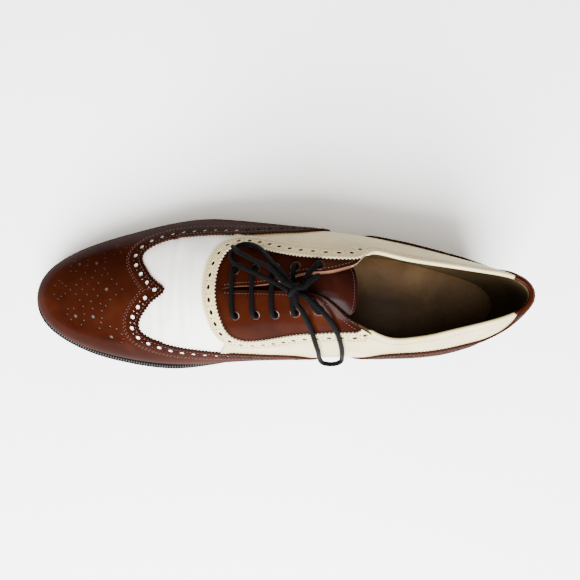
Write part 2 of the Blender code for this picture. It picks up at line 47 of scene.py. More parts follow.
rollTurn = math.radians(cameraSet["roll"])
imageRight = Vector((math.cos(rollTurn), math.sin(rollTurn), 0))
imageUp = Vector((-math.sin(rollTurn), math.cos(rollTurn), 0))
cameraPlace = Vector(cameraSet["place"])
nadir = Vector((cameraPlace.x, cameraPlace.y, 0))
aim = nadir + imageRight * cameraSet["aside"] + imageUp * cameraSet["ahead"]
viewAxis = (cameraPlace - aim).normalized()
viewRight = imageUp.cross(viewAxis).normalized()
viewUp = viewAxis.cross(viewRight)
camera = bpy.data.objects.new("camera", bpy.data.cameras.new("camera"))
camera.data.lens = cameraSet["lens"]
camera.data.clip_start = 0.01
cameraTurn = Matrix((viewRight, viewUp, viewAxis)).transposed().to_4x4()
camera.matrix_world = Matrix.Translation(cameraPlace) @ cameraTurn
bpy.context.scene.collection.objects.link(camera)
bpy.context.scene.camera = camera
print("camera set")

# The last, in millimetres: stations run forward from the back of the heel
mm = 0.001
last = {"length": 296.0, "feather": (4.5, 293.0), "sole": (1.0, 300.0), "collarLean": 9.0, "gap": 0.3,
        "outsole": 5.0, "heelRise": 24.0, "heelSeat": 62.0, "toeSpring": 11.0, "tread": (180.0, 210.0),
        "origin": (0.149091, -0.00421, 0.0), "throatEnd": 173.5, "hem": 2.5, "toePower": 1.8}
formColumns = ("station", "lat", "med", "footLat", "footMed", "bulge", "crown", "ridge", "power", "soleLat",
               "soleMed", "powerMed")
formRows = (
    (0, 0.0, 0.0, 0.0, 0.0, 21.0, 56.7, -0.5, 1.75, 0.0, 0.0, 1.75),
    (6, 13.2, 14.6, 11.8, 13.0, 21.0, 56.5, -0.5, 1.75, 13.8, 15.0, 1.75),
    (22, 20.8, 24.2, 18.8, 21.8, 21.3, 54.5, -0.6, 1.75, 21.8, 24.8, 1.85),
    (44, 27.0, 31.8, 24.4, 28.4, 22.0, 48.7, -0.6, 1.78, 27.8, 31.8, 2.10),
    (65, 32.4, 34.6, 28.8, 30.2, 22.0, 45.3, -0.5, 1.82, 32.2, 33.4, 2.30),
    (86, 36.6, 35.4, 31.6, 29.4, 22.0, 47.8, -0.7, 1.88, 34.8, 32.4, 2.30),
    (107, 40.2, 35.8, 33.8, 28.0, 21.0, 58.5, -0.8, 1.92, 37.2, 31.0, 2.05),
    (130, 43.8, 36.4, 37.2, 28.0, 19.5, 62.0, -0.8, 1.94, 40.8, 31.0, 1.96),
    (150, 47.2, 37.0, 41.2, 30.6, 17.5, 59.3, -0.2, 1.95, 45.4, 34.0, 1.95),
    (170, 50.2, 38.2, 45.2, 34.4, 15.5, 54.2, 0.3, 1.97, 50.4, 39.0, 1.97),
    (187, 51.4, 39.6, 47.0, 36.6, 14.3, 47.4, 0.6, 2.00, 53.2, 42.4, 2.00),
    (205, 49.8, 40.6, 45.8, 37.7, 13.3, 41.4, 0.8, 2.04, 52.4, 44.8, 2.04),
    (222, 46.0, 39.9, 42.6, 36.9, 12.5, 36.4, 0.8, 2.10, 49.2, 44.2, 2.10),
    (240, 40.6, 37.5, 37.5, 34.5, 11.5, 31.2, 0.5, 2.16, 43.8, 41.4, 2.16),
    (257, 34.8, 33.6, 31.8, 30.7, 10.5, 26.3, 0.2, 2.20, 38.0, 37.2, 2.20),
    (272, 28.2, 28.2, 25.5, 25.5, 9.5, 20.6, 0.0, 2.20, 30.8, 31.0, 2.20),
    (284, 20.6, 20.9, 18.4, 18.7, 8.8, 14.2, 0.0, 2.16, 23.2, 23.4, 2.16),
    (292, 12.3, 12.4, 10.8, 10.9, 8.3, 7.6, 0.0, 2.10, 14.4, 14.5, 2.10),
    (296, 0.0, 0.0, 0.0, 0.0, 8.0, 0.0, 0.0, 2.00, 0.0, 0.0, 2.00),
)
# The line of collar and throat by station on each side, as degrees up the section
topOuterRows = ((0, 47.3), (12, 48.2), (22, 50.4), (36, 51.6), (50, 52.3), (62, 53.0), (72, 52.4),
                (80, 50.6), (86, 49.9), (91, 52.3), (94.5, 58.5), (97.5, 65.6), (104, 72.6), (112, 76.6),
                (120, 78.2), (128, 79.4), (134, 82.0), (141, 85.2), (148, 87.2), (158, 88.1), (166, 88.5),
                (173.5, 90.0))
topInnerRows = ((0, 47.3), (12, 46.7), (22, 47.1), (36, 48.3), (46, 47.7), (56, 45.2), (66, 43.2),
                (73, 42.1), (79, 42.9), (84, 45.9), (90, 51.4), (96, 57.0), (102, 62.0), (107, 68.9),
                (112, 76.0), (117, 81.4), (122, 84.4), (128, 86.2), (138, 87.4), (150, 88.3), (162, 88.8),
                (173.5, 90.0))


def smoothCurve(xs, ys):
    # natural cubic through a few rows, for single values or arrays
    xs, ys = np.array(xs, float), np.array(ys, float)
    step, count = np.diff(xs), len(xs)
    system, right = np.eye(count), np.zeros(count)
    for i in range(1, count - 1):
        system[i, i - 1:i + 2] = step[i - 1], 2 * (step[i - 1] + step[i]), step[i]
        right[i] = 6 * ((ys[i + 1] - ys[i]) / step[i] - (ys[i] - ys[i - 1]) / step[i - 1])
    bend = np.linalg.solve(system, right)

    def value(x):
        x = np.asarray(x, float)
        i = np.clip(np.searchsorted(xs, x) - 1, 0, count - 2)
        h, near, far = step[i], xs[i + 1] - x, x - xs[i]
        return ((bend[i] * near ** 3 + bend[i + 1] * far ** 3) / (6 * h)
                + (ys[i] / h - bend[i] * h / 6) * near + (ys[i + 1] / h - bend[i + 1] * h / 6) * far)
    return value


def sweep(station):
    return np.arccos(np.clip(1 - 2 * np.asarray(station, float) / last["length"], -1, 1))


def stationAt(angle):
    return last["length"] * (1 - np.cos(angle)) / 2


formCurves = {name: smoothCurve([sweep(row[0]) for row in formRows], [row[i] for row in formRows])
              for i, name in enumerate(formColumns) if i}
topCurves = {side: smoothCurve([row[0] for row in rows], [row[1] for row in rows])
             for side, rows in ((1, topOuterRows), (-1, topInnerRows))}


def form(name, station):
    return formCurves[name](sweep(station))


def easeIn(u):
    u = np.clip(u, 0, 1)
    return u * u * (3 - 2 * u)


def soleTop(reach):
    reach = np.asarray(reach, float)
    back, front = last["tread"]
    rise = last["heelRise"] * easeIn((back - reach) / (back - last["heelSeat"]))
    ahead = np.maximum(0, reach - front) / (last["sole"][1] - front)
    return last["outsole"] + rise + last["toeSpring"] * ahead ** last["toePower"]


def topTurn(station, side):
    return np.where(np.asarray(station) >= last["throatEnd"], 0.0,
                    1 - np.minimum(topCurves[side](station), 90) / 90)


def skin(angle, turn):
    # the outside of the upper; turn is 0 on the ridge, 1 at the bulge, 2 at the lower edge,
    # and positive on the outer side
    angle, turn = np.broadcast_arrays(np.asarray(angle, float), np.asarray(turn, float))
    beyond = (angle < 0) | (angle > math.pi)
    turn = np.where(beyond, -turn, turn)
    angle = np.where(angle < 0, -angle, np.where(angle > math.pi, 2 * math.pi - angle, angle))
    station = stationAt(angle)
    side, level = np.where(turn >= 0, 1.0, -1.0), 1 - np.abs(turn)
    width = np.where(side > 0, form("lat", station), form("med", station))
    foot = np.where(side > 0, form("footLat", station), form("footMed", station))
    bulge, ridge = form("bulge", station), form("ridge", station)
    bend = 2 / np.where(side > 0, form("power", station), form("powerMed", station))
    base, length = soleTop(station) + last["gap"], last["length"]
    tuck, rise = np.minimum(level, 0) ** 2, np.clip(level, 0, 1) * math.pi / 2
    low = level < 0
    back = np.where(low, last["feather"][0] * tuck, last["collarLean"] * np.sin(rise) ** 2)
    front = np.where(low, length - (length - last["feather"][1]) * tuck, length)
    across = np.clip(np.cos(rise), 0, 1) ** bend
    y = np.where(low, side * (width - (width - foot) * tuck),
                 ridge + side * (width - side * ridge) * across)
    z = np.where(low, base + bulge * (1 + level),
                 base + bulge + form("crown", station) * np.clip(np.sin(rise), 0, 1) ** bend)
    return np.stack([-(back + (front - back) * station / length), y, z], -1)


def unit(v):
    return v / np.maximum(np.linalg.norm(v, axis=-1, keepdims=True), 1e-9)


def travelled(points):
    # the way from the first of a row of points to each of them
    return np.concatenate([[0], np.cumsum(np.linalg.norm(np.diff(points, axis=0), axis=1))])


def outward(angle, turn):
    angle, turn = np.broadcast_arrays(np.asarray(angle, float), np.asarray(turn, float))
    e = 0.008
    along = skin(angle + e, turn) - skin(angle - e, turn)
    across = skin(angle, turn + e) - skin(angle, turn - e)
    facing = unit(np.cross(across, along))
    pole = ((angle > math.pi - 0.02) & (np.abs(turn) <= 1.02))[..., None]
    return np.where(pole, np.array([-1.0, 0, 0]), facing)


def lasted(angle, turn, lift):
    # a place on the last, lifted off it, in metres
    place = skin(angle, turn) + outward(angle, turn) * np.asarray(lift, float)[..., None]
    return place * mm + np.array(last["origin"])


def underPlan(reach, y):
    # the place on the last straight under a place in plan
    station, lean, side = reach, 0.0, 1.0
    for _ in range(6):
        station = (reach - lean) / (1 - lean / last["length"])
        ridge = form("ridge", station)
        side = 1.0 if y >= ridge else -1.0
        width = form("lat" if side > 0 else "med", station) - side * ridge
        share = min(1.0, abs(y - ridge) / width)
        rise = math.acos(share ** (form("power" if side > 0 else "powerMed", station) / 2))
        lean = last["collarLean"] * math.sin(rise) ** 2
    return float(sweep(station)), side * (1 - rise / (math.pi / 2))


# Lines on the last are arrays of (angle, turn); one of each is worth about this many millimetres
lineScale = (94, 50)


def lineThrough(rows):
    places = np.array([(sweep(station), turn) for station, turn in rows], float)
    steps = np.hypot(np.diff(places[:, 0]) * lineScale[0], np.diff(places[:, 1]) * lineScale[1])
    spans = np.concatenate([[0], np.cumsum(steps)])
    fine = np.linspace(0, spans[-1], 500)
    return np.stack([smoothCurve(spans, places[:, 0])(fine), smoothCurve(spans, places[:, 1])(fine)], -1)


def evenly(line, pitch, start=0.0):
    # places a fixed distance apart along a line
    travel = travelled(skin(*line.T))
    count = max(1, round((travel[-1] - start) / pitch))
    marks = start + (travel[-1] - start) * np.arange(count + 1) / count
    return np.stack([np.interp(marks, travel, line[:, 0]), np.interp(marks, travel, line[:, 1])], -1)


def tangents(line):
    # how far a place moves on the last for each unit of angle and of turn
    (angle, turn), e = line.T, 1e-3
    byAngle = (skin(angle + e, turn) - skin(angle - e, turn)) / (2 * e)
    byTurn = (skin(angle, turn + e) - skin(angle, turn - e)) / (2 * e)
    return byAngle, byTurn


def frames(line):
    # the directions ahead, sideways and outward along a line
    ahead = unit(np.gradient(skin(*line.T), axis=0))
    facing = outward(*line.T)
    sideways = unit(np.cross(facing, ahead))
    return unit(np.cross(sideways, facing)), sideways, facing


def moved(line, vectors):
    # the line after each place has gone along its vector, in millimetres
    a, t = tangents(line)
    gram = np.stack([np.stack([(one * other).sum(1) for other in (a, t)], -1) for one in (a, t)], -2)
    right = np.stack([(a * vectors).sum(1), (t * vectors).sum(1)], -1)
    return line + np.linalg.solve(gram, right[..., None])[..., 0]


def beside(line, offset):
    # a parallel line; the left hand is positive
    offset = np.broadcast_to(offset, len(line))[:, None]
    for _ in range(3):
        line = moved(line, frames(line)[1] * (offset / 3))
    return line


def pinked(line, pitch=2.1, depth=0.9):
    teeth = evenly(line, pitch / 2)
    swing = np.where(np.arange(len(teeth)) % 2 == 0, 0.5, -0.5) * depth
    return moved(teeth, frames(teeth)[1] * swing[:, None])


# Flat patterns: panels are cut flat, then laid over the last
flatScale, cutDepth = (94.2, 45.0), 12


def tempObject(shape):
    mesh = bpy.data.meshes.new("temp")
    shape.to_mesh(mesh)
    shape.free()
    made = bpy.data.objects.new("temp", mesh)
    bpy.context.scene.collection.objects.link(made)
    return made


def vertsOf(items):
    return [item for item in items if isinstance(item, bmesh.types.BMVert)]


def flatSheet(area, thickness):
    firstAngle, lastAngle, lowTurn, highTurn, columns, rows = area
    shape = bmesh.new()
    grid = bmesh.ops.create_grid(shape, x_segments=columns, y_segments=rows, size=1.0)["verts"]
    for vert in grid:
        vert.co.x = (firstAngle + (lastAngle - firstAngle) * (vert.co.x + 1) / 2) * flatScale[0]
        vert.co.y = (lowTurn + (highTurn - lowTurn) * (vert.co.y + 1) / 2) * flatScale[1]
    grown = bmesh.ops.extrude_face_region(shape, geom=shape.faces[:])["geom"]
    bmesh.ops.translate(shape, vec=(0, 0, thickness), verts=vertsOf(grown))
    bmesh.ops.recalc_face_normals(shape, faces=shape.faces)
    return shape


def prism(outlines):
    shape = bmesh.new()
    for outline in outlines:
        ring = bmesh.ops.create_circle(shape, cap_ends=True, segments=len(outline), radius=1.0)["verts"]
        for vert, (angle, turn) in zip(ring, outline):
            vert.co = (angle * flatScale[0], turn * flatScale[1], -cutDepth / 2)
        cap = [face for face in shape.faces if ring[0] in face.verts]
        grown = bmesh.ops.extrude_face_region(shape, geom=cap)["geom"]
        bmesh.ops.translate(shape, vec=(0, 0, cutDepth), verts=vertsOf(grown))
    bmesh.ops.recalc_face_normals(shape, faces=shape.faces)
    return shape


def addPunches(shape, line, along, across=None, segments=10):
    # round holes of a true radius on the last, cut through the flat pattern
    ahead, sideways, _ = frames(line) if len(line) > 2 else (None, None, None)
    byAngle, byTurn = tangents(line)
    for i, (angle, turn) in enumerate(line):
        a, t = byAngle[i] / flatScale[0], byTurn[i] / flatScale[1]
        e1 = ahead[i] if ahead is not None else a / np.linalg.norm(a)
        e2 = sideways[i] if ahead is not None else unit(np.cross(np.cross(a, t), e1))
        spread = np.linalg.inv(np.array([[e1 @ a, e1 @ t], [e2 @ a, e2 @ t]]))
        grow = spread @ np.diag([along, across or along])
        place = Matrix(((*grow[0], 0, angle * flatScale[0]), (*grow[1], 0, turn * flatScale[1]),
                        (0, 0, 1, 0), (0, 0, 0, 1)))
        bmesh.ops.create_cone(shape, cap_ends=True, segments=segments, radius1=1.0, radius2=1.0,
                              depth=cutDepth, matrix=place)


def trimmed(shape, cuts):
    base = tempObject(shape)
    helpers = [base]
    for operation, cutter in cuts:
        bmesh.ops.recalc_face_normals(cutter, faces=cutter.faces)
        helpers.append(tempObject(cutter))
        cut = base.modifiers.new("cut", "BOOLEAN")
        cut.operation, cut.solver, cut.object = operation, "MANIFOLD", helpers[-1]
    bpy.context.view_layer.update()
    graph = bpy.context.evaluated_depsgraph_get()
    mesh = bpy.data.meshes.new_from_object(base.evaluated_get(graph))
    shape = bmesh.new()
    shape.from_mesh(mesh)
    bpy.data.meshes.remove(mesh)
    for helper in helpers:
        mesh = helper.data
        bpy.data.objects.remove(helper)
        bpy.data.meshes.remove(mesh)
    return shape


def layOver(name, shape, levels, thickness, materials, zipped=()):
    # turns a flat pattern into the lasted piece between its underside and its top; zipped ends are sewn shut
    bmesh.ops.triangulate(shape, faces=shape.faces)
    walls = [face for face in shape.faces if abs(face.normal.z) < 0.5]
    for face in walls:
        face.material_index = 1 if len(materials) > 1 else 0
    ends = [face for face in walls for end in zipped
            if all(abs(vert.co.x - end * flatScale[0]) < 0.01 for vert in face.verts)]
    bmesh.ops.delete(shape, geom=ends, context="FACES_ONLY")
    flat = np.array([vert.co for vert in shape.verts])
    angle, turn = flat[:, 0] / flatScale[0], flat[:, 1] / flatScale[1]
    under, top = levels(angle, turn)
    solid = lasted(angle, turn, under + (top - under) * flat[:, 2] / thickness)
    for vert, place in zip(shape.verts, solid):
        vert.co = place
    bmesh.ops.remove_doubles(shape, verts=shape.verts, dist=0.02 * mm)
    bmesh.ops.dissolve_degenerate(shape, edges=shape.edges, dist=0.005 * mm)
    bmesh.ops.reverse_faces(shape, faces=shape.faces)
    return newPiece(name, shape, *materials)


def newPiece(name, shape, *materials, sharp=40):
    mesh = bpy.data.meshes.new(name)
    shape.to_mesh(mesh)
    shape.free()
    for material in materials:
        mesh.materials.append(material)
    mesh.shade_smooth()
    mesh.set_sharp_from_angle(angle=math.radians(sharp))
    piece = bpy.data.objects.new(name, mesh)
    bpy.context.scene.collection.objects.link(piece)
    return piece


def settle(piece, slot, *nodes):
    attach(piece, "root")
    if nodes:
        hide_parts(*nodes)


def nearestOf(places):
    # the distance from a place to the nearest of these
    tree = KDTree(len(places))
    for i, place in enumerate(places):
        tree.insert(place, i)
    tree.balance()
    return lambda place: tree.find(place)[2]


def keepValues(piece, name, values):
    piece.data.attributes.new(name, "FLOAT", "POINT").data.foreach_set("value", values)


def shadeByEdge(piece, lines, reach):
    # a value from 0 at the given lines to 1 a reach away, kept on the piece for its material
    away = nearestOf(np.concatenate([lasted(*line.T, np.zeros(len(line))) for line in lines]))
    keepValues(piece, "edge", [min(1.0, away(vert.co) / (reach * mm)) for vert in piece.data.vertices])


def plainEdge(piece):
    keepValues(piece, "edge", [1.0] * len(piece.data.vertices))


def layPanel(name, panelSet, levels, cuts, materials, edges, slot, node, zipped=()):
    # one leather panel: cut flat, laid over the last and toned towards its edges
    shape = trimmed(flatSheet(panelSet["area"], panelSet["thickness"]), cuts)
    panel = layOver(name, shape, levels, panelSet["thickness"], materials, zipped)
    shadeByEdge(panel, edges, panelSet["toneReach"])
    settle(panel, slot, node)
    print(name, "laid:", len(panel.data.polygons))
    return panel


def flatLevels(panelSet):
    # the same underside and top all over a panel
    return lambda angle, turn: tuple(np.full(np.shape(angle), panelSet[key]) for key in ("under", "top"))


def punchBorder(shape, marks, panelSet):
    # a large hole at each mark and two small ones between
    addPunches(shape, marks, *panelSet["large"], segments=12)
    for offset in (-panelSet["apart"], panelSet["apart"]):
        addPunches(shape, beside((marks[1:] + marks[:-1]) / 2, offset), panelSet["small"], segments=7)


def addStitches(shape, line, levels, length=1.7, width=0.55, height=0.4, proud=0.02):
    ahead, _, facing = frames(line)
    places = lasted(*line.T, levels(*line.T)[1] + proud)
    for i, place in enumerate(places):
        x = unit(ahead[i])
        y = np.cross(facing[i], x)
        turned = Matrix(np.stack([x, y, facing[i]], -1).tolist()).to_4x4()
        addStitch(shape, place, turned, (length / 2, width / 2, height / 2))


def addStitch(shape, place, turned, size):
    grow = Matrix.Diagonal((size[0] * mm, size[1] * mm, size[2] * mm, 1))
    bmesh.ops.create_icosphere(shape, subdivisions=1, radius=1.0,
                               matrix=Matrix.Translation(place) @ turned @ grow)


# Shared effects of the materials
def nodeGroup(name, inputs, outputs):
    # every socket is a number, apart from an input without a value, which is a place
    group = bpy.data.node_groups.new(name, "ShaderNodeTree")
    for label, value in inputs.items():
        kind = "NodeSocketVector" if value is None else "NodeSocketFloat"
        socket = group.interface.new_socket(label, in_out="INPUT", socket_type=kind)
        if value is not None:
            socket.default_value = value
    for label in outputs:
        group.interface.new_socket(label, in_out="OUTPUT", socket_type="NodeSocketFloat")
    return group, group.nodes.new("NodeGroupInput"), group.nodes.new("NodeGroupOutput")


def addNode(tree, kind, values=None, **settings):
    node = tree.nodes.new(kind)
    for key, value in settings.items():
        setattr(node, key, value)
    for key, value in (values or {}).items():
        node.inputs[key].default_value = value
    return node


def addMath(tree, operation, values=None):
    return addNode(tree, "ShaderNodeMath", values, operation=operation)


def mixTones(tree, **tones):
    mix = addNode(tree, "ShaderNodeMix", data_type="RGBA")
    for key, tone in tones.items():
        mix.inputs[key].default_value = (*tone, 1)
    return mix


def wire(tree, *joins):
    for source, output, target, entry in joins:
        tree.links.new(source.outputs[output], target.inputs[entry])


def makeGrainGroup():
    # pores and fine wrinkles of calf, with slow changes of tone
    group, source, result = nodeGroup("calfGrain",
                                      {"Vector": None, "Pore Scale": 1400.0, "Cloud Scale": 35.0},
                                      ("Height", "Cloud"))
    pores = addNode(group, "ShaderNodeTexVoronoi", {"Randomness": 1.0}, feature="SMOOTH_F1")
    fine = addNode(group, "ShaderNodeTexNoise", {"Detail": 4.0, "Roughness": 0.6})
    cloud = addNode(group, "ShaderNodeTexNoise", {"Detail": 5.0, "Roughness": 0.55, "Distortion": 0.4})
    wide = addMath(group, "MULTIPLY", {1: 0.55})
    height = addMath(group, "MULTIPLY_ADD", {1: 0.6})
    for node in (pores, fine, cloud):
        wire(group, (source, "Vector", node, "Vector"))
    wire(group, (source, "Pore Scale", pores, "Scale"), (source, "Pore Scale", wide, 0),
         (wide, 0, fine, "Scale"), (source, "Cloud Scale", cloud, "Scale"), (pores, "Distance", height, 0),
         (fine, "Fac", height, 2), (height, 0, result, "Height"), (cloud, "Fac", result, "Cloud"))
    return group


def makeEdgeGroup():
    # a mask towards the piece's edge lines, broken up by the clouds: darker polished wear on the brown
    # leathers' own edges, the cream leathers darker towards their edges and under the band, painted shade
    # where other pieces lie over the vamp and the facing, and painted light towards the lining's collar
    group, source, result = nodeGroup("edgeWearAndShade", {"Edge": 1.0, "Cloud": 0.5}, ("Mask",))
    shift = addMath(group, "MULTIPLY_ADD", {1: 0.5, 2: -0.25})
    total = addMath(group, "ADD")
    mask = addNode(group, "ShaderNodeMapRange",
                   {"From Min": 0.05, "From Max": 0.9, "To Min": 1.0, "To Max": 0.0},
                   interpolation_type="SMOOTHSTEP")
    wire(group, (source, "Cloud", shift, 0), (source, "Edge", total, 0), (shift, 0, total, 1),
         (total, 0, mask, "Value"), (mask, "Result", result, "Mask"))
    return group


calfGrain = makeGrainGroup()
edgeWearAndShade = makeEdgeGroup()


def baseMaterial(name, roughness, coat=0.0, coatRoughness=0.2, specular=0.4):
    material = bpy.data.materials.new(name)
    material.use_nodes = True
    shader = material.node_tree.nodes["Principled BSDF"]
    for key, value in (("Roughness", roughness), ("Coat Weight", coat), ("Coat Roughness", coatRoughness),
                       ("Specular IOR Level", specular)):
        shader.inputs[key].default_value = value
    return material, material.node_tree, shader


def leather(name, dark, mid, light, edge, roughness, coat=0.2, coatRoughness=0.2, bump=0.25,
            poreScale=1400.0, cloudScale=35.0, edgeAmount=0.8, specular=0.4):
    # tones run dark to light over the clouds; edge is the tone towards the piece's edge lines, which is
    # polished wear on the brown leathers and painted shade or painted light on others
    material, tree, shader = baseMaterial(name, roughness, coat, coatRoughness, specular)
    place = addNode(tree, "ShaderNodeTexCoord")
    grain = addNode(tree, "ShaderNodeGroup", node_tree=calfGrain)
    grain.inputs["Pore Scale"].default_value = poreScale
    grain.inputs["Cloud Scale"].default_value = cloudScale
    tones = addNode(tree, "ShaderNodeValToRGB")
    tones.color_ramp.elements[0].position, tones.color_ramp.elements[0].color = 0.32, (*dark, 1)
    tones.color_ramp.elements[1].position, tones.color_ramp.elements[1].color = 0.70, (*light, 1)
    tones.color_ramp.elements.new(0.5).color = (*mid, 1)
    attribute = addNode(tree, "ShaderNodeAttribute", attribute_name="edge")
    wear = addNode(tree, "ShaderNodeGroup", node_tree=edgeWearAndShade)
    amount = addMath(tree, "MULTIPLY", {1: edgeAmount})
    mix = mixTones(tree, B=edge)
    spread = {"From Min": 0.3, "From Max": 0.7, "To Min": roughness - 0.07, "To Max": roughness + 0.07}
    rough = addNode(tree, "ShaderNodeMapRange", spread)
    relief = addNode(tree, "ShaderNodeBump", {"Strength": bump, "Distance": 0.0003})
    wire(tree, (place, "Object", grain, "Vector"), (grain, "Cloud", tones, "Fac"),
         (attribute, "Fac", wear, "Edge"), (grain, "Cloud", wear, "Cloud"), (wear, "Mask", amount, 0),
         (amount, 0, mix, "Factor"), (tones, "Color", mix, "A"), (mix, "Result", shader, "Base Color"),
         (grain, "Cloud", rough, "Value"), (rough, "Result", shader, "Roughness"),
         (grain, "Height", relief, "Height"), (relief, "Normal", shader, "Normal"))
    return material


def thread(name, colour, lightColour, roughness=0.6):
    material, tree, shader = baseMaterial(name, roughness)
    place = addNode(tree, "ShaderNodeTexCoord")
    twist = addNode(tree, "ShaderNodeTexNoise", {"Scale": 900.0, "Detail": 2.0})
    mix = mixTones(tree, A=colour, B=lightColour)
    relief = addNode(tree, "ShaderNodeBump", {"Strength": 0.4, "Distance": 0.0002})
    wire(tree, (place, "Object", twist, "Vector"), (twist, "Fac", mix, "Factor"),
         (mix, "Result", shader, "Base Color"), (twist, "Fac", relief, "Height"),
         (relief, "Normal", shader, "Normal"))
    return material


def paintedShadeAtToe(material, grey):
    # painted shade: under the medallion the white vamp is coloured grey, so that its holes look shaded
    tree = material.node_tree
    shader = tree.nodes["Principled BSDF"]
    before = shader.inputs["Base Color"].links[0].from_socket
    attribute = addNode(tree, "ShaderNodeAttribute", attribute_name="toe")
    mix = mixTones(tree, B=grey)
    tree.links.new(before, mix.inputs["A"])
    wire(tree, (attribute, "Fac", mix, "Factor"), (mix, "Result", shader, "Base Color"))


brownCalf = leather("brownCalf", (0.0105, 0.0019, 0.0008), (0.0155, 0.0030, 0.0012),
                    (0.0230, 0.0052, 0.0021), (0.0055, 0.0012, 0.0006), 0.45, coat=0.055, coatRoughness=0.2,
                    bump=0.15, edgeAmount=0.7, specular=0.0)
brownCut = leather("brownCut", (0.022, 0.008, 0.005), (0.034, 0.013, 0.008), (0.048, 0.020, 0.013),
                   (0.020, 0.007, 0.004), 0.6, coat=0.0, bump=0.3, specular=0.0)
paleCut = leather("paleCut", (0.070, 0.028, 0.018), (0.105, 0.046, 0.032), (0.15, 0.075, 0.055),
                  (0.08, 0.032, 0.02), 0.65, coat=0.0, bump=0.3, specular=0.0)
# the white vamp's darker edge tone is painted shade along the wing and quarter edges that lie over it
whiteCalf = leather("whiteCalf", (0.55, 0.545, 0.52), (0.62, 0.612, 0.585), (0.68, 0.67, 0.64),
                    (0.50, 0.48, 0.43), 0.45, coat=0.04, coatRoughness=0.25, bump=0.14, edgeAmount=0.5,
                    specular=0.15)
paintedShadeAtToe(whiteCalf, (0.044, 0.034, 0.028))
creamCalf = leather("creamCalf", (0.35, 0.285, 0.140), (0.42, 0.35, 0.180), (0.49, 0.42, 0.24),
                    (0.29, 0.235, 0.118), 0.45, coat=0.05, coatRoughness=0.25, bump=0.16, edgeAmount=0.45,
                    specular=0.15)
creamCut = leather("creamCut", (0.30, 0.26, 0.17), (0.38, 0.33, 0.22), (0.45, 0.40, 0.28),
                   (0.28, 0.24, 0.15), 0.6, coat=0.0, bump=0.3)
tongueCalf = leather("tongueCalf", (0.006, 0.0012, 0.0007), (0.010, 0.0021, 0.0013),
                     (0.017, 0.0040, 0.0026), (0.004, 0.0010, 0.0006), 0.42, coat=0.06, bump=0.2,
                     specular=0.0)
# painted shade and light: the lining is coloured dark as the shaded inside, and lighter towards the collar
# as painted light
liningShadeAndRimLight = leather("liningShadeAndRimLight", (0.024, 0.014, 0.005), (0.036, 0.022, 0.009), (0.052, 0.034, 0.015),
                     (0.12, 0.085, 0.045), 0.55, coat=0.0, bump=0.3, poreScale=900.0, specular=0.15)
# painted shade: the sock is coloured darker to stand for the shaded inside
sockShadedCalf = leather("sockShadedCalf", (0.036, 0.018, 0.006), (0.054, 0.028, 0.010), (0.078, 0.044, 0.018),
                   (0.020, 0.010, 0.004), 0.5, coat=0.03, bump=0.3, poreScale=900.0, specular=0.15)
edgeBlack = leather("edgeBlack", (0.0010, 0.0009, 0.0008), (0.0018, 0.0016, 0.0014),
                    (0.0036, 0.0031, 0.0027), (0.0018, 0.0016, 0.0014), 0.42, coat=0.10, bump=0.2,
                    poreScale=700.0, cloudScale=60.0, specular=0.0)
soleTan = leather("soleTan", (0.055, 0.026, 0.011), (0.085, 0.043, 0.019), (0.125, 0.070, 0.034),
                  (0.03, 0.015, 0.007), 0.5, coat=0.03, bump=0.35, poreScale=700.0, cloudScale=22.0,
                  specular=0.15)
rubberBlack = leather("rubberBlack", (0.0014, 0.0014, 0.0014), (0.0024, 0.0024, 0.0024),
                      (0.0045, 0.0045, 0.0045), (0.0014, 0.0014, 0.0014), 0.7, coat=0.02, bump=0.4,
                      poreScale=500.0, specular=0.05)
brownThread = thread("brownThread", (0.014, 0.0036, 0.0020), (0.036, 0.012, 0.0075))
creamThread = thread("creamThread", (0.10, 0.085, 0.055), (0.19, 0.165, 0.115))
wineThread = thread("wineThread", (0.0045, 0.0012, 0.0009), (0.014, 0.0045, 0.0036))
greyThread = thread("greyThread", (0.018, 0.0175, 0.0165), (0.055, 0.053, 0.050))
print("materials ready")

# Eyelet places, from the rear pair to the front pair
eyeletSet = {"stations": (119.2, 131.8, 143.0, 154.0, 165.8), "reachOuter": (12.0, 11.4, 11.0, 10.8, 10.6),
             "reachInner": (11.3, 12.2, 13.2, 13.5, 14.0), "hole": 4.4, "rim": 6.2, "punch": 2.3}


def eyeletTurn(number, side):
    station = eyeletSet["stations"][number]
    width = form("lat" if side > 0 else "med", station) - side * form("ridge", station)
    reach = eyeletSet["reachOuter" if side > 0 else "reachInner"][number]
    power = form("power" if side > 0 else "powerMed", station)
    return side * (1 - math.acos((reach / width) ** (power / 2)) / (math.pi / 2))


def eyeletPunches(radius, segments):
    shape = bmesh.new()
    for place in eyeletPlaces:
        addPunches(shape, place[None], radius, segments=segments)
    return shape


eyeletPlaces = np.array([(sweep(eyeletSet["stations"][number]), eyeletTurn(number, side))
                         for side in (1, -1) for number in range(5)])

# Soft flex creases across the vamp, each a shallow trough with a ridge behind it:
# station on the ridge, bow, depth, width, and the turns between which it lies
creaseSet = {"slant": 2.0, "fade": 0.22, "ridge": 0.55, "ridgeBehind": 1.5, "throughWing": 0.8}
creaseRows = ((221.5, -7.0, 0.65, 2.0, -0.42, 0.30), (214.0, 5.0, 0.80, 2.2, -0.62, 0.12),
              (207.0, -6.0, 0.85, 2.1, -0.25, 0.62), (200.5, 6.0, 0.95, 2.3, -0.60, 0.45),
              (195.0, -4.0, 0.55, 1.9, -0.50, 0.55))


def creases(angle, turn):
    station, total = stationAt(angle), np.zeros(np.shape(angle))
    for middle, bow, depth, width, low, high in creaseRows:
        away = station - (middle + bow * turn ** 2 + creaseSet["slant"] * turn)
        share = easeIn((turn - low) / creaseSet["fade"]) * easeIn((high - turn) / creaseSet["fade"])
        ridge = creaseSet["ridge"] * np.exp(-((away + creaseSet["ridgeBehind"] * width) / width) ** 2)
        total += share * depth * (ridge - np.exp(-(away / width) ** 2))
    return total


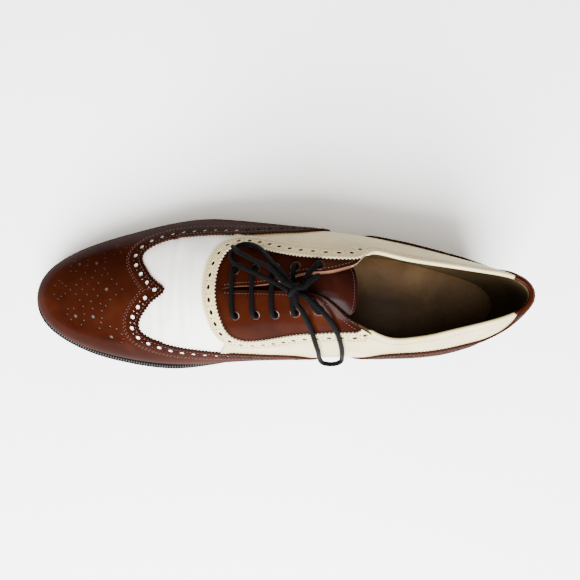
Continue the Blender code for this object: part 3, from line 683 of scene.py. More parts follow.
# Lines of the pattern: (station, turn) of each edge, turns on the inner side given without their sign
facingOuterRows = ((96.5, 0.294), (98.5, 0.286), (104, 0.265), (111, 0.256), (118, 0.255), (124, 0.26),
                   (130.5, 0.266), (137, 0.28), (144, 0.30), (150, 0.322), (157, 0.342), (162.5, 0.351),
                   (166, 0.346), (169.5, 0.324), (172, 0.292), (174, 0.240), (175.8, 0.178), (176.8, 0.105),
                   (177.3, 0.0))
facingInnerRows = ((93.5, 0.386), (96, 0.399), (101, 0.412), (108, 0.423), (115, 0.430), (121, 0.44),
                   (128, 0.446), (134.5, 0.46), (142, 0.485), (148.5, 0.506), (155, 0.52), (161, 0.518),
                   (166.3, 0.49), (170.3, 0.435), (172.8, 0.365), (174.3, 0.29), (175.5, 0.22),
                   (176.5, 0.14), (177.1, 0.06), (177.3, 0.0))
bandOuterRows = ((92.3, 0.385), (94.3, 0.345), (96.5, 0.305), *facingOuterRows[1:])
bandInnerRows = ((90.3, 0.420), (92.0, 0.399), (93.4, 0.388), (94.7, 0.391), *facingInnerRows[1:])
wingOuterRows = ((106.6, 1.86), (109.3, 1.4), (111.8, 1.05), (115.5, 0.83), (120.5, 0.705), (126.8, 0.64),
                 (131.8, 0.605), (138.8, 0.575), (145.8, 0.55), (152.7, 0.525), (159.7, 0.505),
                 (169.2, 0.487), (178.7, 0.48), (186.7, 0.475), (193.7, 0.472), (201.2, 0.47),
                 (207.6, 0.465), (213.1, 0.45), (216.6, 0.432), (220.6, 0.405), (223.6, 0.37),
                 (225.2, 0.335), (225.8, 0.30), (225.4, 0.265), (223.8, 0.215), (221.2, 0.16),
                 (218.6, 0.112), (215.1, 0.070), (212.4, 0.043), (210.4, 0.026), (209.1, 0.0))
wingInnerRows = ((114.6, 1.86), (117.5, 1.4), (120.5, 1.1), (125.5, 0.93), (132, 0.855), (139.3, 0.82),
                 (146.8, 0.803), (154.2, 0.778), (161.7, 0.75), (169.7, 0.72), (181.2, 0.672),
                 (188.7, 0.637), (196.2, 0.603), (203.7, 0.568), (210.1, 0.53), (215.1, 0.495),
                 (220.1, 0.452), (223.6, 0.412), (225.3, 0.380), (226.0, 0.345), (226.0, 0.310),
                 (225.4, 0.270), (223.7, 0.22), (221.1, 0.163), (218.1, 0.11), (214.8, 0.070),
                 (212.4, 0.045), (210.4, 0.027), (209.1, 0.0))
foxingOuterRows = ((9.0, 0.43), (9.5, 0.53), (10.3, 0.62), (11.2, 0.70), (12.5, 0.78), (14.5, 0.84),
                   (17.5, 0.862), (22, 0.852), (28, 0.822), (36, 0.79), (46, 0.775), (60, 0.765),
                   (75, 0.775), (84, 0.81), (91, 0.92), (96, 1.2), (98.6, 1.6), (99.3, 1.86))
foxingInnerRows = ((9.0, 0.43), (9.5, 0.55), (10.3, 0.645), (11.2, 0.73), (12.5, 0.81), (14.5, 0.868),
                   (17.5, 0.88), (22, 0.842), (28, 0.785), (36, 0.74), (46, 0.735), (60, 0.755),
                   (75, 0.775), (84, 0.82), (91, 0.95), (96, 1.25), (98.6, 1.6), (99.3, 1.86))
quarterOuterRows = ((176.5, 2.1), (174.5, 1.3), (172.5, 0.8), (170.2, 0.54), (168.3, 0.43), (163, 0.30),
                    (160, 0.15), (159, 0.0))
quarterInnerRows = ((182, 2.1), (181, 1.3), (180, 0.85), (178, 0.70), (175.5, 0.60), (172, 0.53),
                    (163, 0.36), (160, 0.18), (159, 0.0))
vampOuterRows = ((170, 2.1), (168, 1.3), (165.5, 0.8), (164.3, 0.58), (166, 0.45), (170.5, 0.36),
                 (172.8, 0.2), (173.3, 0.0))
vampInnerRows = ((176, 2.1), (174.5, 1.3), (173, 0.9), (171, 0.74), (170, 0.64), (170.5, 0.52), (172, 0.36),
                 (173, 0.2), (173.3, 0.0))


def mirrored(rows):
    return [(station, -turn) for station, turn in rows]


def acrossBoth(outerRows, innerRows):
    # from the outer side over the ridge to the inner side
    return lineThrough(list(outerRows) + mirrored(innerRows)[-2::-1])


def topEdge(side, first=0.0, final=last["throatEnd"]):
    angle = np.linspace(sweep(first), sweep(final), 220)
    return np.stack([angle, side * topTurn(stationAt(angle), side)], -1)


facingEdge = acrossBoth(facingOuterRows, facingInnerRows)
bandGuide = acrossBoth(bandOuterRows, bandInnerRows)
quarterFront = acrossBoth(quarterOuterRows, quarterInnerRows)
vampRear = acrossBoth(vampOuterRows, vampInnerRows)
wingOuter, wingInner = lineThrough(wingOuterRows)[::-1], lineThrough(mirrored(wingInnerRows))[::-1]
foxingOuter, foxingInner = lineThrough(foxingOuterRows), lineThrough(mirrored(foxingInnerRows))
mouth = np.concatenate([[(-0.1, topTurn(0, 1))], topEdge(1), topEdge(-1)[::-1][1:],
                        [(-0.1, -topTurn(0, -1))]])


def hemTurn(station):
    return 2 - last["hem"] / form("bulge", station)


def hemLine(first, final, side, count=60):
    angle = np.linspace(sweep(first), sweep(final), count)
    return np.stack([angle, side * hemTurn(stationAt(angle))], -1)


def farFrom(*lines):
    away = nearestOf(np.concatenate([skin(*line.T) for line in lines]))
    return lambda angle, turn: np.array([away(place) for place in skin(angle, turn)])


def within(outline):
    ends = np.roll(outline, -1, axis=0)

    def inside(angle, turn):
        odd = np.zeros(np.shape(angle), bool)
        for (x0, y0), (x1, y1) in zip(outline, ends):
            if y0 != y1:
                odd ^= ((y0 > turn) != (y1 > turn)) & (angle < x0 + (turn - y0) * (x1 - x0) / (y1 - y0))
        return odd
    return inside


toeEnd = np.array([(math.pi + 0.06, -hemTurn(296.0)), (math.pi + 0.06, hemTurn(296.0))])
wingHem = np.concatenate([hemLine(115.2, 295.9, -1), toeEnd, hemLine(107.2, 295.9, 1)[::-1]])
wingInside = within(np.concatenate([wingOuter[::-1], wingInner[1:], wingHem]))
wingFar, bandFar = farFrom(wingOuter, wingInner), farFrom(bandGuide)
seamFar = farFrom(*[quarterFront[(quarterFront[:, 1] > 0.4) & (quarterFront[:, 1] < 1.4)],
                    quarterFront[(quarterFront[:, 1] < -0.52) & (quarterFront[:, 1] > -1.4)]])


# Along its edge the wing lies on the vamp, further in the vamp rises under it
wingEdge = {"flat": 1.5, "rise": 3}


def wingDepth(angle, turn):
    return easeIn((wingFar(angle, turn) - wingEdge["flat"]) / wingEdge["rise"])


# Vamp: the white front panel that runs under wing and quarter, lifted a little under the wing
vampSet = {"under": -0.9, "top": 0.2, "underWing": 0.6, "thickness": 1.1, "toneReach": 5.0,
           "area": (sweep(161), math.pi, -1.97, 1.97, 130, 84)}
toeShadeSet = {"from": 231.0, "fade": 5.0, "halfWidth": 33.0, "sideFade": 3.0}


def vampLevels(angle, turn):
    fold = creases(angle, turn)
    raised = np.where(wingInside(angle, turn), vampSet["underWing"] * wingDepth(angle, turn), 0)
    return vampSet["under"] + fold, vampSet["top"] + raised + fold


def markToeShade(piece):
    # where the vamp is greyed as painted shade, seen through the medallion's holes
    places = np.array([vert.co for vert in piece.data.vertices]) - np.array(last["origin"])
    ahead = easeIn((-places[:, 0] / mm - toeShadeSet["from"]) / toeShadeSet["fade"])
    keepValues(piece, "toe",
               ahead * easeIn((toeShadeSet["halfWidth"] - np.abs(places[:, 1] / mm)) / toeShadeSet["sideFade"]))


vampOutline = np.concatenate([vampRear, [(math.pi + 0.1, -2.1), (math.pi + 0.1, 2.1)]])
# its edge value runs from the wing and quarter edges above it, for the painted shade along them
vamp = layPanel("vampLeather", vampSet, vampLevels, [("INTERSECT", prism([vampOutline]))], (whiteCalf,),
                [wingOuter, wingInner, quarterFront], "white_leather", "upper", zipped=(math.pi,))
markToeShade(vamp)

# Quarters: the cream sides, from the heel to a seam over the vamp, running on under the facing to the throat
quarterSet = {"under": -0.6, "top": 0.2, "overSeam": 0.85, "seamReach": 7.0, "seamEase": 5.0,
              "thickness": 0.8, "toneReach": 3.0, "throat": (100, 172), "throatGap": 4.8,
              "area": (0.0, sweep(184), -1.97, 1.97, 124, 84)}


def quarterLevels(angle, turn):
    near = easeIn((quarterSet["seamReach"] - seamFar(angle, turn)) / quarterSet["seamEase"])
    raised = quarterSet["overSeam"] * near
    return quarterSet["under"] + raised, quarterSet["top"] + raised


quarterOutline = np.concatenate([[(-0.1, 2.1)], pinked(quarterFront, 2.1, 0.7), [(-0.1, -2.1)]])
throatEdges = [beside(topEdge(side, *quarterSet["throat"]), -side * quarterSet["throatGap"])
               for side in (1, -1)]
throatGap = np.concatenate([throatEdges[0], throatEdges[1][::-1]])
layPanel("quarterLeather", quarterSet, quarterLevels,
         [("INTERSECT", prism([quarterOutline])), ("DIFFERENCE", prism([mouth])),
          ("DIFFERENCE", prism([throatGap])), ("DIFFERENCE", eyeletPunches(eyeletSet["punch"], 12))],
         (creamCalf, creamCut), [bandGuide, quarterFront, topEdge(1), topEdge(-1)], "white_leather",
         "upper", zipped=(0.0,))

# Facing: the brown lace panel, slit along the throat, its outer edge under the band
facingSet = {"under": 0.3, "top": 1.25, "thickness": 0.95, "toneReach": 5.0, "tuckUnder": 5.8,
             "tuckEase": 0.012, "fold": 1.2, "foldReach": 4.5, "foldEase": 2.5, "holeInset": 0.2,
             "area": (sweep(87), sweep(186), -0.66, 0.52, 76, 58)}
throatFar = farFrom(topEdge(1, 97), topEdge(-1, 95))


def facingLevels(angle, turn):
    near = easeIn((facingSet["foldReach"] - throatFar(angle, turn)) / facingSet["foldEase"])
    fold = facingSet["fold"] * near
    return facingSet["under"] - fold, np.full(np.shape(angle), facingSet["top"])


trail = np.linspace(0, 1, len(bandGuide))
tuck = facingSet["tuckUnder"] * easeIn(np.minimum(trail, 1 - trail) / facingSet["tuckEase"])
facingOutline = beside(bandGuide, -tuck)
# the edge lines under the band darken the facing there as painted shade, seen through the band's holes and
# along its edge
layPanel("facingLeather", facingSet, facingLevels,
         [("INTERSECT", prism([facingOutline])), ("DIFFERENCE", prism([mouth])),
          ("DIFFERENCE", eyeletPunches(eyeletSet["hole"] / 2 - facingSet["holeInset"], 16))],
         (brownCalf, paleCut),
         [facingEdge, beside(bandGuide, -2.0), beside(bandGuide, -4.4), topEdge(1, 96), topEdge(-1, 94)],
         "brown_leather", "facing")

# Band: the cream strip round the facing, pinked on both edges and punched
bandSet = {"width": 8.8, "inner": 1.3, "outer": 0.5, "thickness": 0.95, "toneReach": 2.0, "holePitch": 7.0,
           "holeInset": 4.2, "firstHole": 3.0, "large": (1.5, 1.15), "small": 0.5, "apart": 1.15,
           "area": (sweep(86), sweep(194), -0.86, 0.64, 100, 80)}


def bandLevels(angle, turn):
    share = np.clip(bandFar(angle, turn) / bandSet["width"], 0, 1)
    under = bandSet["inner"] + (bandSet["outer"] - bandSet["inner"]) * share
    return under, under + bandSet["thickness"]


bandRim = beside(bandGuide, -bandSet["width"])
bandOutline = np.concatenate([pinked(bandGuide), pinked(bandRim, 2.1, 0.7)[::-1]])
bandHoles = bmesh.new()
bandMiddle = beside(bandGuide, -bandSet["holeInset"])
punchBorder(bandHoles, evenly(bandMiddle, bandSet["holePitch"], bandSet["firstHole"]), bandSet)
layPanel("facingBand", bandSet, bandLevels,
         [("INTERSECT", prism([bandOutline])), ("DIFFERENCE", prism([mouth])), ("DIFFERENCE", bandHoles)],
         (creamCalf, creamCut), [bandGuide, bandRim], "white_leather", "upper")

# Wing cap: pinked, punched along its edge, with a medallion on the toe
wingSet = {"edgeUnder": 0.25, "under": 0.85, "top": 1.6, "thickness": 1.2, "toneReach": 9.0,
           "holePitch": 6.9, "holeInset": 4.4, "large": (1.42, 1.42), "small": 0.55, "apart": 1.2,
           "lowestHole": 1.6, "clearOfRidge": 0.002,
           "area": (sweep(103), math.pi, -1.9, 1.9, 110, 96)}
medallionSet = {"centre": (248.0, 1.4), "large": 1.25, "small": 0.74}
medallionLarge = ((0, 0), (19.3, 15.6), (8.0, 16.0), (-2.8, 27.3))
medallionSmall = ((8.2, 0), (15.4, 0), (23.3, 0), (-9.9, 0), (5.4, 3.8), (12.2, 3.1), (19.4, 2.8),
                  (-6.2, 3.2), (-2.8, 6.1), (9.5, 7.1), (16.7, 6.3), (3.5, 8.5), (0, 9.6), (8.3, 11.3),
                  (14.4, 10.1), (2.4, 12.6), (13.6, 14.5), (14, 18), (2.5, 16.7), (20.5, 11.1),
                  (24.3, 11.3), (24.9, 14.5), (22.4, 17.4), (15.9, 20.4), (26.5, 2.3), (29.1, 4),
                  (31.2, 5.5), (34, 2.7), (-2.6, 21.4), (-6.5, 22.8), (4.3, 22.4), (3.1, 19.2),
                  (-9.6, 25.8), (-10.3, 28.4), (-8.7, 30.4))


def wingLevels(angle, turn):
    fold = creaseSet["throughWing"] * creases(angle, turn)
    under = wingSet["edgeUnder"] + (wingSet["under"] - wingSet["edgeUnder"]) * wingDepth(angle, turn)
    return under + fold, wingSet["top"] + fold


wingHoles = bmesh.new()
for side, line in ((1, wingOuter), (-1, wingInner)):
    row = beside(line, wingSet["holeInset"] * side)
    firstHole = 0.0 if side > 0 else wingSet["holePitch"]
    marks = evenly(row[row[:, 1] * side > wingSet["clearOfRidge"]], wingSet["holePitch"], firstHole)
    punchBorder(wingHoles, marks[np.abs(marks[:, 1]) < wingSet["lowestHole"]], wingSet)
for group, radius, segments in ((medallionLarge, medallionSet["large"], 12),
                                (medallionSmall, medallionSet["small"], 8)):
    for ahead, across in group:
        for side in ((1, -1) if across else (1,)):
            spot = underPlan(medallionSet["centre"][0] + ahead, medallionSet["centre"][1] + side * across)
            addPunches(wingHoles, np.array([spot]), radius, segments=segments)
wingOutline = np.concatenate([pinked(wingOuter)[::-1], pinked(wingInner)[1:], wingHem])
layPanel("wingCap", wingSet, wingLevels, [("INTERSECT", prism([wingOutline])), ("DIFFERENCE", wingHoles)],
         (brownCalf, brownCut), [wingOuter, wingInner, hemLine(107, 295.9, 1), hemLine(115, 295.9, -1)],
         "brown_leather", "wing_cap", zipped=(math.pi,))

# Heel foxing: low brown sides that rise to the collar in a strip at the back
foxingSet = {"under": 0.25, "top": 1.5, "thickness": 1.2, "toneReach": 8.0, "holePitch": 6.9,
             "holeInset": 4.4, "firstHole": 1.0, "large": (1.42, 1.42), "small": 0.55, "apart": 1.2,
             "lowestHole": 1.65, "strip": (9, 0.43), "lowHem": 0.4, "hemFrom": 88, "hemEase": 8,
             "area": (0.0, sweep(101), -1.99, 1.99, 64, 98)}
foxingLevels = flatLevels(foxingSet)


def foxingHalf(line, side):
    hem = hemLine(0.0, 99.0, side)
    stations = stationAt(hem[:, 0])
    low = side * (2 - foxingSet["lowHem"] / form("bulge", stations))
    hem[:, 1] += (low - hem[:, 1]) * easeIn((foxingSet["hemFrom"] - stations) / foxingSet["hemEase"])
    return np.concatenate([[(-0.1, foxingSet["strip"][1] * side)], pinked(line), hem[::-1],
                           [(-0.1, hem[0, 1])]])


foxingHoles = bmesh.new()
for side, line in ((1, foxingOuter), (-1, foxingInner)):
    row = beside(line, -foxingSet["holeInset"] * side)
    marks = evenly(row[stationAt(row[:, 0]) > foxingSet["strip"][0]], foxingSet["holePitch"],
                   foxingSet["firstHole"])
    punchBorder(foxingHoles, marks[np.abs(marks[:, 1]) < foxingSet["lowestHole"]], foxingSet)
layPanel("heelFoxing", foxingSet, foxingLevels,
         [("INTERSECT", prism([foxingHalf(foxingOuter, 1), foxingHalf(foxingInner, -1)])),
          ("DIFFERENCE", prism([mouth])), ("DIFFERENCE", foxingHoles)], (brownCalf, brownCut),
         [foxingOuter, foxingInner, hemLine(0, 98, 1), hemLine(0, 98, -1)], "brown_leather", "heel_foxing",
         zipped=(0.0,))

# Lining: the inside wall up to the collar and throat, its dark tone painted shade and its lighter collar
# edge painted light
liningSet = {"under": -2.0, "top": -0.95, "thickness": 1.05, "toneReach": 7.0,
             "area": (0.0, math.pi, -1.96, 1.96, 100, 60)}
layPanel("liningLeather", liningSet, flatLevels(liningSet),
         [("DIFFERENCE", prism([mouth])), ("DIFFERENCE", eyeletPunches(eyeletSet["punch"], 12))],
         (liningShadeAndRimLight,), [topEdge(1, 0, 95), topEdge(-1, 0, 95)], "insole_leather", "upper",
         zipped=(0.0, math.pi))

# Tongue: under the facing, its top edge rounded
tongueSet = {"under": -5.5, "top": -3.6, "thickness": 1.9, "toneReach": 5.0,
             "area": (sweep(95), sweep(188), -0.42, 0.42, 44, 34)}
tongueRows = ((96.4, 0.0), (96.6, 0.08), (97.6, 0.17), (99.8, 0.25), (104, 0.305), (111, 0.345),
              (126, 0.368), (150, 0.372), (186, 0.36))
tongueEdge = lineThrough(mirrored(tongueRows)[::-1] + list(tongueRows)[1:])
tongueLevels = flatLevels(tongueSet)
layPanel("tongueLeather", tongueSet, tongueLevels, [("INTERSECT", prism([tongueEdge]))], (tongueCalf,),
         [tongueEdge], "tongue_leather", "tongue")


# Round cords and beads: a grid wrapped round a path, kept with its own map along and round the cord
def alongPath(points, spacing):
    points = np.array(points, float)
    spans = np.arange(len(points))
    curves = [smoothCurve(spans, points[:, k]) for k in range(3)]
    fine = np.linspace(0, spans[-1], 800)
    dense = np.stack([curve(fine) for curve in curves], -1)
    travel = travelled(dense)
    count = max(4, round(travel[-1] / spacing))
    marks = np.linspace(0, travel[-1], count + 1)
    return np.stack([np.interp(marks, travel, dense[:, k]) for k in range(3)], -1)


def wrapTube(shape, path, radius, segments=12, roundEnds=True):
    mapLayer = shape.loops.layers.uv.verify()
    rings = len(path) - 1
    travel = travelled(path)
    ahead = unit(np.gradient(path, axis=0))
    sides = []
    side = np.cross(ahead[0], (0.3, 0.2, 0.9))
    for i in range(rings + 1):
        side = unit(side - ahead[i] * (side @ ahead[i]))
        sides.append(side)
    grid = bmesh.ops.create_grid(shape, x_segments=rings, y_segments=segments, size=1.0,
                                 calc_uvs=True)["verts"]
    for face in {face for vert in grid for face in vert.link_faces}:
        for loop in face.loops:
            loop[mapLayer].uv.x *= travel[-1] / mm
    for vert in grid:
        i, j = round((vert.co.x + 1) / 2 * rings), round((vert.co.y + 1) / 2 * segments)
        fromEnd = min(travel[i], travel[-1] - travel[i]) / radius
        size = radius * (math.sqrt(max(0.12, 1 - (1 - fromEnd) ** 2)) if roundEnds and fromEnd < 1 else 1.0)
        around = 2 * math.pi * j / segments
        spoke = sides[i] * math.cos(around) + np.cross(ahead[i], sides[i]) * math.sin(around)
        vert.co = path[i] + spoke * size
    bmesh.ops.remove_doubles(shape, verts=grid, dist=radius * 0.02)
    rims = [edge for edge in shape.edges if edge.is_boundary]
    bmesh.ops.holes_fill(shape, edges=rims, sides=segments)
    bmesh.ops.recalc_face_normals(shape, faces=shape.faces)


# Collar roll: a soft bead over the top edge, brown at the heel
rollSet = {"radius": 1.2, "lift": -0.75, "brownFrom": 9.6, "outerEnd": 93.5, "innerEnd": 92.0}


def aroundCollar(first, final, count):
    # negative stations run on round the heel to the inner side
    ends = [math.copysign(float(sweep(abs(station))), station) for station in (first, final)]
    angle = np.linspace(*ends, count)
    turn = np.where(angle > 0, topTurn(stationAt(np.abs(angle)), 1), topTurn(stationAt(np.abs(angle)), -1))
    return np.stack([angle, turn], -1)


brownFrom = rollSet["brownFrom"]
rollRows = (("collarRollOuter", rollSet["outerEnd"], brownFrom, 80, creamCalf, "white_leather"),
            ("collarRollHeel", brownFrom + 0.4, -brownFrom - 0.4, 40, brownCalf, "brown_leather"),
            ("collarRollInner", -brownFrom, -rollSet["innerEnd"], 80, creamCalf, "white_leather"))
for name, first, final, count, material, slot in rollRows:
    rollShape = bmesh.new()
    rollLine = aroundCollar(first, final, count)
    rollPath = lasted(*rollLine.T, np.full(count, rollSet["lift"]))
    wrapTube(rollShape, rollPath, rollSet["radius"] * mm, 12)
    roll = newPiece(name, rollShape, material)
    plainEdge(roll)
    settle(roll, slot)
print("collar rolled")

# Thread rows
stitchSet = {"pitch": 2.2, "fine": 1.9, "short": 1.4, "edgeRows": (1.7, 8.4, 9.6), "lowest": 1.72,
             "behind": 9.0, "slit": (99, 171, 1.9),
             "band": (1.5, bandSet["width"] - 2.6, bandSet["width"] - 1.5), "bandEnd": 14, "collar": 3.0,
             "collarEnds": ((91, 14), (-14, -89)), "tongue": 1.8, "tongueEnd": 125}


def sewFine(shape, row, levels):
    addStitches(shape, evenly(row, stitchSet["fine"]), levels, length=stitchSet["short"])


def sewnPiece(name, shape, material, slot):
    settle(newPiece(name, shape, material, sharp=180), slot)


def clearOfRidge(row, side):
    return row[:, 1] * side > 0.004


def aheadOfStrip(row, side):
    return stationAt(row[:, 0]) > stitchSet["behind"]


brownRows = bmesh.new()
for lines, levels, inward, clear in (((wingOuter, wingInner), wingLevels, 1, clearOfRidge),
                                     ((foxingOuter, foxingInner), foxingLevels, -1, aheadOfStrip)):
    for side, line in zip((1, -1), lines):
        for inset in stitchSet["edgeRows"]:
            row = beside(line, inward * inset * side)
            row = row[clear(row, side) & (np.abs(row[:, 1]) < stitchSet["lowest"])]
            addStitches(brownRows, evenly(row, stitchSet["pitch"]), levels)
for side in (1, -1):
    sewFine(brownRows, beside(topEdge(side, *stitchSet["slit"][:2]), -stitchSet["slit"][2] * side),
            facingLevels)
sewnPiece("brownStitches", brownRows, brownThread, "brown_leather")

creamRows = bmesh.new()
for inset in stitchSet["band"]:
    sewFine(creamRows, beside(bandGuide, -inset)[stitchSet["bandEnd"]:-stitchSet["bandEnd"]], bandLevels)
for first, final in stitchSet["collarEnds"]:
    sewFine(creamRows, beside(aroundCollar(first, final, 160), stitchSet["collar"]), quarterLevels)
sewnPiece("creamStitches", creamRows, creamThread, "white_leather")

wineRows = bmesh.new()
tongueRow = beside(tongueEdge, stitchSet["tongue"])
sewFine(wineRows, tongueRow[stationAt(tongueRow[:, 0]) < stitchSet["tongueEnd"]], tongueLevels)
sewnPiece("tongueStitches", wineRows, wineThread, "tongue_leather")
print("stitches sewn")


# Sole pieces: plates between an outer and an inner edge line, each a list of (reach, y)
def soleEdges(lat, med, ends, final=last["length"], inset=0.0, count=70):
    stations = stationAt(np.linspace(sweep(0.0), sweep(final), count + 1))
    reach = ends[0] + inset + (ends[1] - ends[0] - 2 * inset) * stations / last["length"]
    return (np.stack([reach, np.maximum(0, form(lat, stations) - inset)], -1),
            np.stack([reach, -np.maximum(0, form(med, stations) - inset)], -1))


def addPlate(shape, edges, top, depth, across=6, rounding=0.5):
    before = set(shape.faces)
    rows = len(edges[0]) - 1
    grid = bmesh.ops.create_grid(shape, x_segments=rows, y_segments=across, size=1.0)["verts"]
    for vert in grid:
        i, j = round((vert.co.x + 1) / 2 * rows), round((vert.co.y + 1) / 2 * across)
        reach, y = edges[0][i] + (edges[1][i] - edges[0][i]) * j / across
        vert.co = (-reach, y, float(top(reach)))
    bmesh.ops.remove_doubles(shape, verts=grid, dist=0.02)
    faces = [face for face in shape.faces if face not in before]
    grown = bmesh.ops.extrude_face_region(shape, geom=faces)["geom"]
    for vert in vertsOf(grown):
        vert.co.z -= float(depth(-vert.co.x))
    faces = [face for face in shape.faces if face not in before]
    bmesh.ops.recalc_face_normals(shape, faces=faces)
    if rounding:
        sharpEdges = {edge for face in faces for edge in face.edges
                      if len(edge.link_faces) == 2 and edge.calc_face_angle() > 0.9}
        bmesh.ops.bevel(shape, geom=list(sharpEdges), offset=rounding, offset_type="OFFSET", segments=2,
                        profile=0.5, affect="EDGES", clamp_overlap=True, material=-1)


def solePiece(name, shape, materials, slot, node):
    # from millimetres on the last to metres in the frame
    bmesh.ops.scale(shape, vec=(mm, mm, mm), verts=shape.verts)
    bmesh.ops.translate(shape, vec=last["origin"], verts=shape.verts)
    piece = newPiece(name, shape, *materials)
    plainEdge(piece)
    settle(piece, slot, node)


# Outsole: black edge, worn brown leather underneath
outsoleSet = {"round": 0.7, "across": 10}
soleShape = bmesh.new()
addPlate(soleShape, soleEdges("soleLat", "soleMed", last["sole"]), soleTop, lambda reach: last["outsole"],
         across=outsoleSet["across"], rounding=outsoleSet["round"])
for face in soleShape.faces:
    face.material_index = 1 if face.normal.z < -0.8 else 0
solePiece("outsoleLeather", soleShape, (edgeBlack, soleTan), "sole_leather", "outsole")

# Welt: a strip round the forepart with a wheeled, stitched top
weltSet = {"back": 84.0, "thickness": 2.4, "tuck": 0.6, "clear": 0.25, "round": 0.45, "pitch": 1.7,
           "stitchInset": 1.7, "stitchFrom": 3.0, "stitchSize": (1.0, 0.42, 0.3), "stitchTurn": 0.35,
           "narrowest": 2.6}


def weltTop(reach):
    return soleTop(reach) + last["gap"] + weltSet["thickness"]


weltStations = stationAt(np.linspace(sweep(weltSet["back"]), math.pi, 80))
weltTrail = [(station, 1) for station in weltStations] + [(station, -1) for station in weltStations[-2::-1]]
weltOuter, weltInner = [], []
for station, side in weltTrail:
    reach = last["sole"][0] + (last["sole"][1] - last["sole"][0]) * station / last["length"]
    weltOuter.append((reach, side * max(0.0, float(form("soleLat" if side > 0 else "soleMed", station)))))
    wall = skin(sweep(station),
                side * (2 - (weltSet["thickness"] + weltSet["tuck"]) / form("bulge", station)))
    weltInner.append((-wall[0], wall[1]))
weltOuter, weltInner = np.array(weltOuter), np.array(weltInner)
weltAlong = unit(np.gradient(weltInner, axis=0))
weltInner = weltInner + np.stack([-weltAlong[:, 1], weltAlong[:, 0]], -1) * weltSet["clear"]
weltShape = bmesh.new()
addPlate(weltShape, (weltOuter, weltInner), weltTop, lambda reach: weltSet["thickness"], across=2,
         rounding=weltSet["round"])
solePiece("weltLeather", weltShape, (edgeBlack,), "welt_leather", "welt")

greyRows = bmesh.new()
weltTravel = travelled(weltOuter)
for mark in np.arange(weltSet["stitchFrom"], weltTravel[-1] - weltSet["stitchFrom"], weltSet["pitch"]):
    edge, near = (np.array([np.interp(mark, weltTravel, row) for row in line.T])
                  for line in (weltOuter, weltInner))
    inward = near - edge
    width = np.linalg.norm(inward)
    if width < weltSet["narrowest"]:
        continue
    spot = edge + inward / width * min(weltSet["stitchInset"], width * 0.5)
    direction = Vector((-inward[0], inward[1], 0)).normalized()
    place = Vector((-spot[0], spot[1], float(weltTop(spot[0])))) * mm + Vector(last["origin"])
    turned = Matrix.Rotation(math.atan2(direction.y, direction.x) + weltSet["stitchTurn"], 4, "Z")
    addStitch(greyRows, place, turned, weltSet["stitchSize"])
sewnPiece("weltStitches", greyRows, greyThread, "welt_leather")

# Heel: stacked lifts over a black top piece
heelSet = {"breast": 76.0, "lifts": 5, "taper": 1.5, "round": 0.3}
heelShape = bmesh.new()
heelBreast = (heelSet["breast"] - last["sole"][0]) * last["length"] / (last["sole"][1] - last["sole"][0])


def heelHeight(reach):
    return soleTop(reach) - last["outsole"] - last["gap"]


for lift in range(heelSet["lifts"]):
    upShare, downShare = 1 - lift / heelSet["lifts"], 1 - (lift + 1) / heelSet["lifts"]
    known = set(heelShape.faces)
    inset = heelSet["taper"] * (1 - upShare)
    liftEdges = soleEdges("soleLat", "soleMed", last["sole"], final=heelBreast, inset=inset, count=30)
    addPlate(heelShape, liftEdges, lambda reach: heelHeight(reach) * upShare,
             lambda reach: heelHeight(reach) * (upShare - downShare), across=4, rounding=heelSet["round"])
    for face in heelShape.faces:
        if face not in known:
            face.material_index = 1 if lift == heelSet["lifts"] - 1 else 0
solePiece("heelStack", heelShape, (edgeBlack, rubberBlack), "heel_stack", "heel")

# Sock: the inside floor, its leather coloured darker as painted shade of the inside
sockSet = {"inset": 1.5, "thickness": 3.0, "round": 0.5, "across": 8}
sockShape = bmesh.new()
addPlate(sockShape, soleEdges("footLat", "footMed", last["feather"], inset=sockSet["inset"]),
         lambda reach: soleTop(reach) + last["gap"] + sockSet["thickness"],
         lambda reach: sockSet["thickness"], across=sockSet["across"], rounding=sockSet["round"])
solePiece("sockLining", sockShape, (sockShadedCalf,), "insole_leather", "insole")
print("sole built")


# The braid of the lace, woven over the map along and round each cord, its raised strands coloured lighter as
# a painted highlight
def makeBraidMaterial():
    group, source, result = nodeGroup("braidWeave", {"Vector": None, "Pitch": 0.75, "Strands": 4.0},
                                      ("Height",))
    split, top = addNode(group, "ShaderNodeSeparateXYZ"), addMath(group, "MAXIMUM")
    wire(group, (source, "Vector", split, 0), (top, 0, result, "Height"))
    for entry, sign in enumerate((1.0, -1.0)):
        along, around = addMath(group, "MULTIPLY"), addMath(group, "MULTIPLY")
        both = addMath(group, "MULTIPLY_ADD", {1: sign})
        circle, wave = addMath(group, "MULTIPLY", {1: 2 * math.pi}), addMath(group, "SINE")
        wire(group, (split, "X", along, 0), (source, "Pitch", along, 1), (split, "Y", around, 0),
             (source, "Strands", around, 1), (around, 0, both, 0), (along, 0, both, 2),
             (both, 0, circle, 0), (circle, 0, wave, 0), (wave, 0, top, entry))

    material, tree, shader = baseMaterial("laceCotton", 0.6, specular=0.025)
    place = addNode(tree, "ShaderNodeUVMap", uv_map="UVMap")
    weave = addNode(tree, "ShaderNodeGroup", node_tree=group)
    tones = addNode(tree, "ShaderNodeMapRange", {"From Min": -0.4, "From Max": 1.0})
    # painted highlight: the lighter tone goes on the raised strands of the weave
    mix = mixTones(tree, A=(0.0005, 0.0005, 0.0006), B=(0.0020, 0.0020, 0.0022))
    relief = addNode(tree, "ShaderNodeBump", {"Strength": 0.8, "Distance": 0.0003})
    wire(tree, (place, "UV", weave, "Vector"), (weave, "Height", tones, "Value"),
         (tones, "Result", mix, "Factor"), (mix, "Result", shader, "Base Color"),
         (weave, "Height", relief, "Height"), (relief, "Normal", shader, "Normal"))
    return material


laceCotton = makeBraidMaterial()

